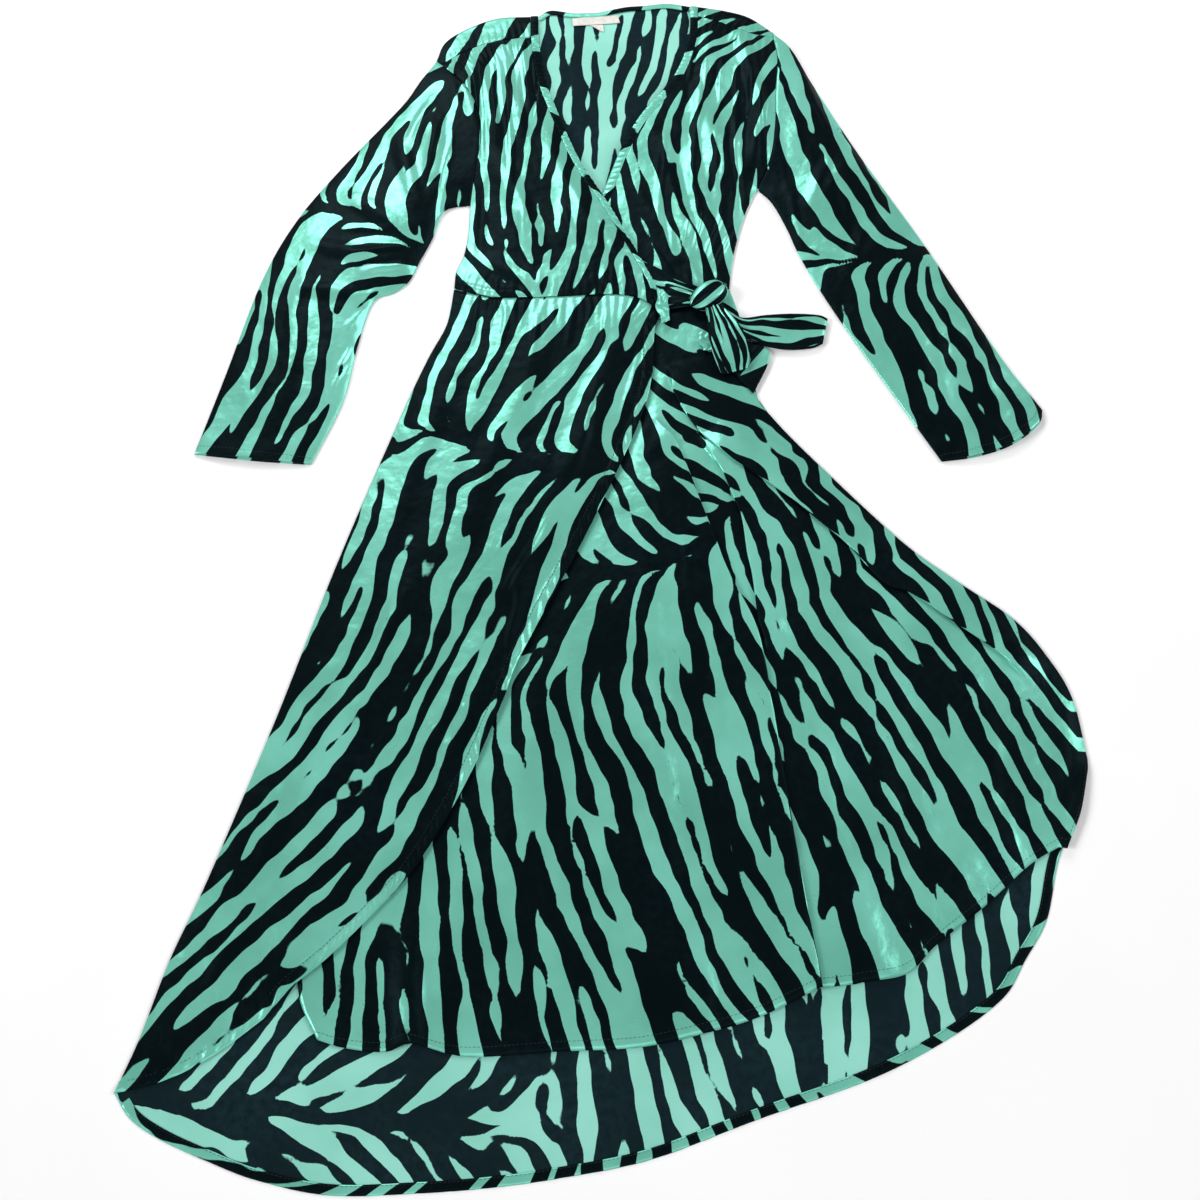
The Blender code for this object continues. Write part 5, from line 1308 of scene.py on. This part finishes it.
def skirt_back():
    top, bottom = LINE["waist_back"], LINE["hem_back"]
    left, right = LINE["skirt_side_r"], LINE["skirt_side_l"]
    above, below = BACK_SKIRT_ROWS
    down = np.concatenate([np.linspace(0, COVERED, above, endpoint=False),
                           np.linspace(COVERED, 1, below)])
    grid = inset(patch(top, bottom, left, right, np.linspace(0, 1, BACK_SKIRT_COLUMNS), down),
                 BACK_SKIRT_EDGE)
    # The print does not match across the seam down its middle
    beyond = distance(np.array(BACK_SEAM, float), grid) > 0
    cloth = grid + np.where(beyond[..., None], BACK_SHIFT, (0.0, 0.0))
    sheet("back_skirt_cloth", grid, back_surface(grid), "skirt_back", cloth)
    # Hem turned up onto the wrong side: the print's right side shows
    across, down = shares("back_hem")
    along = np.linspace(*HEM_ENDS, len(across))
    inner, outer = beside(LINE["hem_back"], HEM), beside(LINE["hem_back"], 0.6)
    ends = (np.stack([point_at(inner, end), point_at(outer, end)]) for end in HEM_ENDS)
    strip = patch(point_at(inner, along), point_at(outer, along), *ends, across, down)
    z = back_surface(strip) + np.interp(down, *HEM_SECTION)[:, None]
    z = z + 0.06 * ripple(strip, "fine")
    turned = strip + (strip[-1] - strip) * 2.0
    sheet("back_hem", strip, z, "skirt_back", turned, cloth=HEM_CLOTH)
    sewn = point_at(beside(LINE["hem_back"], HEM - 1.6), np.linspace(*HEM_STITCH_ENDS, 400))
    return with_height(sewn, back_surface(sewn) + HEM_SECTION[1][1] + 0.3)


def skirt_front_right():
    columns, rows = GRIDS["right_skirt"]
    grid = inset(patch(LINE["waist_over"], LINE["wrap_hem"], LINE["skirt_side_r"], LINE["wrap"],
                       spread(0, 1, columns, 0.2), np.linspace(0, 1, rows)))
    edge = np.vstack([LINE["wrap"], LINE["wrap_hem"][::-1][1:]])
    apart, place = nearest(edge, grid)
    rim, along = np.abs(apart), np.interp(place, np.arange(len(edge)), lengths(edge))
    # The turned edge is thicker, its stitch line sinks in, and puckers run across it
    thick, wide, slope = TURNED_EDGE
    deep, sewn, narrow = STITCH_DIP
    high, middle, half, spacing = PUCKERS
    pucker = np.cos(2 * math.pi * along / spacing + 0.45 * rim + 2.2 * ripple(grid, "mid"))
    band = (thick * ease((wide - rim) / slope) - deep * np.exp(-((rim - sewn) / narrow) ** 2)
            + high * pucker * np.exp(-((rim - middle) / half) ** 2))
    z = over_surface(grid) + band - seam_dip(grid, ["waist_over"], 0.9, 4.0)
    sheet("right_skirt_cloth", grid, z, "skirt_right")


def pleat_section(turn, depth):
    angle = max(turn, 1e-3) * math.pi
    radius = math.pi * BEND / angle
    bends = np.linspace(0, 1, 6) * angle
    first = np.stack([radius * np.sin(bends), radius * (1 - np.cos(bends))], -1)
    back = depth * np.array((math.cos(angle), math.sin(angle)))
    section = np.vstack([first, 2 * first[-1] - first[::-1] + back])
    section[:, 0] -= section[-1, 0]
    return section


def stations(line, rows):
    near, share = NEAR_WAIST
    whole = lengths(line)[-1]
    beyond = near + (whole - near) * (rows - share) / (1 - share)
    return np.where(rows < share, near * rows / share, beyond) / whole


def pleat(name, side, edge, waist, rows):
    start = point_at(waist, PLEAT_TOPS[name])
    edge = smooth([start, *edge])
    spots = point_at(edge, stations(edge, rows))
    along = tangents(spots)
    ways = np.stack([-along[:, 1], along[:, 0]], -1)
    waist_way = point_at(waist, PLEAT_TOPS[name] + 0.02) - start
    waist_way /= np.linalg.norm(waist_way)
    away = stations(edge, rows) * lengths(edge)[-1]
    share = ease(away / PLEAT_TURN)[:, None]
    ways = waist_way * (1 - share) + ways * share
    ways /= np.linalg.norm(ways, axis=1)[:, None]
    folding = np.array(PLEAT_FOLDING[name])
    plan, lift, reach = [], [], []
    for spot, way, gone in zip(spots, ways, away):
        section = pleat_section(*(np.interp(gone, folding[:, 0], folding[:, k]) for k in (1, 2)))
        reach.append(section[:, 0].max())
        section[:, 0] -= section[:, 0].min()
        if side == "left":
            section = section[::-1] * (-1, 1)
        plan.append(spot + section[:, :1] * way)
        lift.append(section[:, 1])
    return np.array(plan), np.array(lift), np.array(reach)


def beside_pleat(points, edge, top, reach):
    apart, place = nearest(edge, points)
    rows = np.arange(len(edge))
    away = np.abs(apart) - np.interp(place, rows, reach) - 6
    return np.interp(place, rows, top) * (1 - ease(away / PLEAT_FADE))


def skirt_front_left():
    rows = np.linspace(0, 1, LEFT_SKIRT_ROWS)
    waist = LINE["waist_under"]
    hems = (LINE["hem_under"], None, LINE["hem_side"], LINE["hem_corner"])
    pleats = [pleat(*row, waist, rows) for row in PLEATS]
    side = LINE["skirt_side_l"]
    left = point_at(LINE["under_edge"], stations(LINE["under_edge"], rows))
    plans, lifts, shifts, raised = [], [], [], []
    reaches = [one[2] for one in pleats]
    # The cloth hidden in a pleat shifts the print beyond it
    moves = [reaches[0] * 0, reaches[0] * 2]
    moves += [moves[1] - reaches[1] * 2]
    moves += [moves[2] - reaches[2] * 2]
    for k, (count, hem) in enumerate(zip(LEFT_SKIRT_COLUMNS, hems)):
        last = k == len(pleats)
        right = point_at(side, stations(side, rows)) if last else pleats[k][0][:, 0]
        top = cut(waist, share_near(waist, left[0]), share_near(waist, right[0]))
        top = pin(top, left[0], right[0])
        bottom = np.linspace(left[-1], right[-1], SAMPLES)
        if hem is not None:
            bottom = pin(hem, left[-1], right[-1])
        strip = patch_rows(top, bottom, left, right, np.linspace(0, 1, count + 1))
        strip = strip[:, (k > 0):(count + 1 if last else count)]
        lift = sum((beside_pleat(strip, *one) for one in raised), np.zeros(strip.shape[:2]))
        if last:
            lift = lift * ease(np.linalg.norm(strip - right[:, None], axis=-1) / 30)
        elif PLEATS[k][1] == "left":
            plan, rising, reach = pleats[k]
            room = ease((distance(OVER_RIM, strip) - 3) / 22)
            lift = lift + room * beside_pleat(strip, plan[:, 0], rising[:, 0], reach)
        plans.append(strip)
        lifts.append(lift)
        shifts.append(np.repeat(moves[k][:, None], strip.shape[1], axis=1))
        if last:
            break
        plan, rising, reach = pleats[k]
        carried = sum((beside_pleat(plan, *one) for one in raised), np.zeros(plan.shape[:2]))
        plans.append(plan)
        lifts.append(rising + carried)
        t = np.linspace(0, 1, plan.shape[1])[None]
        shifts.append(moves[k][:, None] * (1 - t) + moves[k + 1][:, None] * t)
        left = plan[:, -1]
        if PLEATS[k][1] == "right":
            raised.append((plan[:, -1], rising[:, -1], reach))
    grid = np.concatenate(plans, axis=1)
    z = under_surface(grid) + np.concatenate(lifts, axis=1)
    shift = np.concatenate(shifts, axis=1)
    cloth = grid + np.stack([shift, 0.35 * shift], -1)
    points = with_height(inset(grid), z)
    finish(shell("left_skirt_cloth", points, *printed("skirt_left", cloth)))
    return points[-3] + (0, 0, CLOTH / 2 + 0.1)


# ---- bow
KNOT_GAP, HALVINGS = 0.3, 24        # how far cloth stops from the knot, and steps to find that


def in_knot(points):
    turn = math.radians(KNOT_TURN)
    x, y, z = np.moveaxis(points - np.array(KNOT_CENTRE), -1, 0)
    along, across = x * math.cos(turn) + y * math.sin(turn), y * math.cos(turn) - x * math.sin(turn)
    long, wide, high = np.array(KNOT_RADII) + KNOT_GAP
    return (along / long) ** 2 + (across / wide) ** 2 + (z / high) ** 2


def stop_at_knot(inner, outer):
    """Where lines from outer points to inner ones, in the knot, come to its surface."""
    near, far = np.ones(len(inner)), np.zeros(len(inner))
    for _ in range(HALVINGS):
        middle = (near + far) / 2
        inside = in_knot(outer + (inner - outer) * middle[:, None]) < 1
        near, far = np.where(inside, middle, near), np.where(inside, far, middle)
    return outer + (inner - outer) * far[:, None]


def loop_sheet(axis, table, folds_across, depth, curl):
    start, end = np.array(axis, float)
    way = (end - start) / np.linalg.norm(end - start)
    across = np.array((-way[1], way[0]))
    side = np.linspace(-0.5, 0.5, LOOP_COLUMNS)
    rows = through(np.array(table, float), LOOP_STEPS)
    points = []
    for share, z, width, sideways in rows:
        plan = start + (end - start) * share + (side[:, None] * width + sideways) * across
        wave = np.cos(2 * math.pi * folds_across * side + curl)
        wave += 0.45 * np.cos(2 * math.pi * folds_across * 2.2 * side + 2 * curl)
        wave_height = depth * max(1 - share, 0.0) ** 0.8 * wave + 0.12 * np.cos(14 * side)
        points.append(with_height(plan, z + wave_height))
    points = np.array(points)
    points[0] = stop_at_knot(points[0], points[1])
    points[-1] = stop_at_knot(points[-1], points[-2])
    return points


def own_sizes(points, shift, wide_as):
    """Points of a strip of cloth by its own length and width."""
    middle = points[:, points.shape[1] // 2]
    along = lengths(middle) + shift
    wide = np.linspace(-0.5, 0.5, points.shape[1])
    return np.stack(np.broadcast_arrays(along[:, None], wide[None] * wide_as), -1)


def bow():
    for name, axis, table, across, depth, curl, shift, wide_as in (
            ("side_loop", LOOP_SIDE_AXIS, LOOP_SIDE, 3.0, 0.55, 0.6, 0.0, 48),
            ("low_loop", LOOP_LOW_AXIS, LOOP_LOW, 4.0, 0.9, 0.2, 60.0, 76)):
        points = loop_sheet(axis, table, across, depth, curl)
        own = own_sizes(points, shift, wide_as)
        finish(shell(name, points, *printed("tie", own, less=0.12)))
    strap()
    tail()
    knot()


def strap():
    across, down = shares("strap")
    rim = beside(cut(LINE["neck_edge_r"], *STRAP_START), 0.4)
    end = np.linspace(*STRAP_END, SAMPLES)
    grid = patch(np.linspace(rim[0], end[0], SAMPLES), np.linspace(rim[-1], end[-1], SAMPLES),
                 rim, end, across, down)
    v = down[:, None]
    pleats = STRAP_PLEATS * np.cos(5 * math.pi * v) * rise(across)
    twist = 13 * math.pi * v + 1.0 + 2.2 * across + 0.8 * np.sin(7 * across + 5 * v)
    pleats = pleats + 0.8 * np.cos(twist) * rise(across) * across ** 0.7
    z = under_height(grid) + LIFT + STRAP_PLEATS * (1 + 3 * across) + pleats
    points = with_height(grid, z)
    # Its last columns are spread evenly up to the knot
    points[:, -1] = stop_at_knot(points[:, -1], points[:, -12])
    for k in range(1, 11):
        share = k / 11
        points[:, -12 + k] = points[:, -12] * (1 - share) + points[:, -1] * share
    own = np.stack(np.broadcast_arrays(across[None] * 60 + 150, down[:, None] * 84 - 42), -1)
    piece = shell("tie_start", points, *printed("tie", own, less=0.3))
    finish(piece, [loose_fold(*row) for row in LOOSE_FOLDS])


def loose_fold(name, corners, height, crumple):
    """A small end of the tie's cloth that shows beside the knot."""
    grid, u, v = between("loose_fold", corners)
    narrow = 0.45 + 0.55 * np.sin(math.pi * (0.1 + 0.8 * v)) + 0.12 * np.sin(14 * v)
    middle = grid.mean(axis=1, keepdims=True)
    grid = middle + (grid - middle) * narrow[..., None]
    grid[..., 0] += 1.2 * np.sin(9 * v) * np.ones_like(u)
    z = height + crumple * (np.cos(9 * u + 5 * np.sin(6 * v)) + 0.6 * np.sin(17 * v + 3 * u))
    z = z - crumple * ((2 * u - 1) ** 2 + (2 * v - 1) ** 4)
    return ride(shell(name, with_height(grid, z), 1.0 - 0.6 * u ** 6 + 0 * v))


def tail():
    across, down = shares("tail")
    grid = patch(np.linspace(*TAIL_TOP, SAMPLES),
                 np.linspace(TAIL_LEFT[-1], TAIL_END[-1], SAMPLES),
                 np.linspace(*TAIL_LEFT, SAMPLES), smooth(TAIL_END), across, down)
    # Black at the roll beside the low loop, and at the tail's point
    past = -distance(np.array(TAIL_ROLL, float), grid)
    roll = 2.0 * np.exp(-((past + 5) / 4) ** 2) + 0.8 * np.exp(-((past - 9) / 5) ** 2)
    z = TAIL_HEIGHT - TAIL_DROP * across ** 2 + 0.12 * ripple(grid, "fine") + roll * across ** 0.5
    stripe = np.minimum(np.minimum(past / 6, (1.42 - down[:, None] - across) * 6), 1.0)
    finish(shell("tie_end", with_height(grid, z), stripe))


def knot():
    """The tie's turn around itself: a soft oval with ridges and stripes that run along it."""
    turn = math.radians(KNOT_TURN)
    points, stripe = [], []
    for j in range(1, KNOT_ALONG):
        lat = math.pi * j / KNOT_ALONG
        row, value = [], []
        for i in range(KNOT_AROUND):
            lon = 2 * math.pi * i / KNOT_AROUND
            layers = math.cos(5 * lon - 4.2 + 0.9 * math.cos(lat))
            ridge = 1 + 0.07 * layers + 0.03 * math.cos(9 * lon - 3 * math.cos(lat))
            full = math.sin(lat) ** 0.8
            x = math.cos(lat) * KNOT_RADII[0] * (1 - 0.10 * math.sin(lon) * math.cos(lat))
            y = full * math.cos(lon) * KNOT_RADII[1] * ridge
            z = full * math.sin(lon) * KNOT_RADII[2] * ridge
            row.append((KNOT_CENTRE[0] + x * math.cos(turn) - y * math.sin(turn),
                        KNOT_CENTRE[1] + x * math.sin(turn) + y * math.cos(turn),
                        KNOT_CENTRE[2] + z))
            value.append(1.4 * layers - 0.2)
        points.append(row)
        stripe.append(value)
    points, stripe = np.array(points), np.array(stripe)
    piece = shell("tie_turn", points, stripe, closed=True)
    mesh = bmesh.new()
    mesh.from_mesh(piece.data)
    bmesh.ops.holes_fill(mesh, edges=[e for e in mesh.edges if e.is_boundary])
    mesh.to_mesh(piece.data)
    mesh.free()
    finish(piece)


def labels():
    for name, outline in (("neck_label", LABEL), ("neck_tab", LABEL_TAB)):
        grid, u, v = between("label", outline)
        z = REST - 0.3 + 0.35 * np.sin(math.pi * v) + 0.2 * np.sin(5 * u + 2 * v)
        finish(shell(name, with_height(grid, z), np.ones(grid.shape[:2]), cloth=LABEL_CLOTH))


# ---- sewing
def sewing(hems):
    """Stitch lines: along the cuffs and hems, and beside the wrap's hem and edge."""
    paths = list(hems)
    for line, inwards, start, end, count, lift in (("wrap_hem", 10.0, 0.03, 0.92, 200, 0.45),
                                                   ("wrap", -12.0, 0.02, 0.98, 500, 0.25)):
        path = point_at(beside(LINE[line], inwards), np.linspace(start, end, count))
        paths.append(with_height(path, over_surface(path) + lift))
    stitches("hem_stitching", paths, BLACK_THREAD)


# ---- studio
def sun(name, turn, height, spread_angle, strength):
    """A broad, even light from a way round the scene and an elevation, in degrees."""
    data = bpy.data.lights.new(name, "SUN")
    data.angle = math.radians(spread_angle)
    data.energy = strength
    link(name, data).rotation_euler = (math.radians(90 - height), 0.0, math.radians(turn))


def window(place, aim, size, power):
    """A window beyond the neck, whose light makes the satin of the bodice and sleeves shine."""
    data = bpy.data.lights.new("window", "AREA")
    data.shape, data.size, data.energy = "SQUARE", size, power
    light = link("window", data)
    light.location = place
    light.rotation_euler = (Vector(aim) - Vector(place)).to_track_quat("-Z", "Y").to_euler()


def studio():
    tilt = math.radians(CAMERA_TILT)
    data = bpy.data.cameras.new("camera")
    data.lens, data.sensor_width = LENS, FILM
    data.clip_start, data.clip_end = 0.05, 50.0
    camera = link("camera", data)
    camera.location = (TARGET[0], TARGET[1] - CAMERA_DISTANCE * math.sin(tilt),
                       CAMERA_DISTANCE * math.cos(tilt))
    camera.rotation_euler = (tilt, 0.0, 0.0)
    bpy.context.scene.camera = camera
    mesh = bpy.data.meshes.new("floor")
    corners = [(x * FLOOR_REACH, y * FLOOR_REACH, FLOOR_HEIGHT)
               for x, y in ((-1, -1), (1, -1), (1, 1), (-1, 1))]
    mesh.from_pydata(corners, [], [(0, 1, 2, 3)])
    mesh.materials.append(floor_material())
    link("floor", mesh)
    for row in LIGHTS:
        sun(*row)
    window(*WINDOW)
    world = bpy.data.worlds.new("studio")
    world.use_nodes = True
    background = world.node_tree.nodes["Background"]
    background.inputs["Color"].default_value = (1, 1, 1, 1)
    background.inputs["Strength"].default_value = AMBIENT
    bpy.context.scene.world = world
    bpy.context.scene.view_settings.view_transform = "Standard"


def main():
    bodice_back()
    bodice_fronts()
    neck_bindings()
    cuffs = [sleeve("r", over_height), sleeve("l", under_height)]
    back_hem = skirt_back()
    front_hem = skirt_front_left()
    skirt_front_right()
    bow()
    labels()
    sewing([*cuffs, back_hem, front_hem])
    studio()


main()
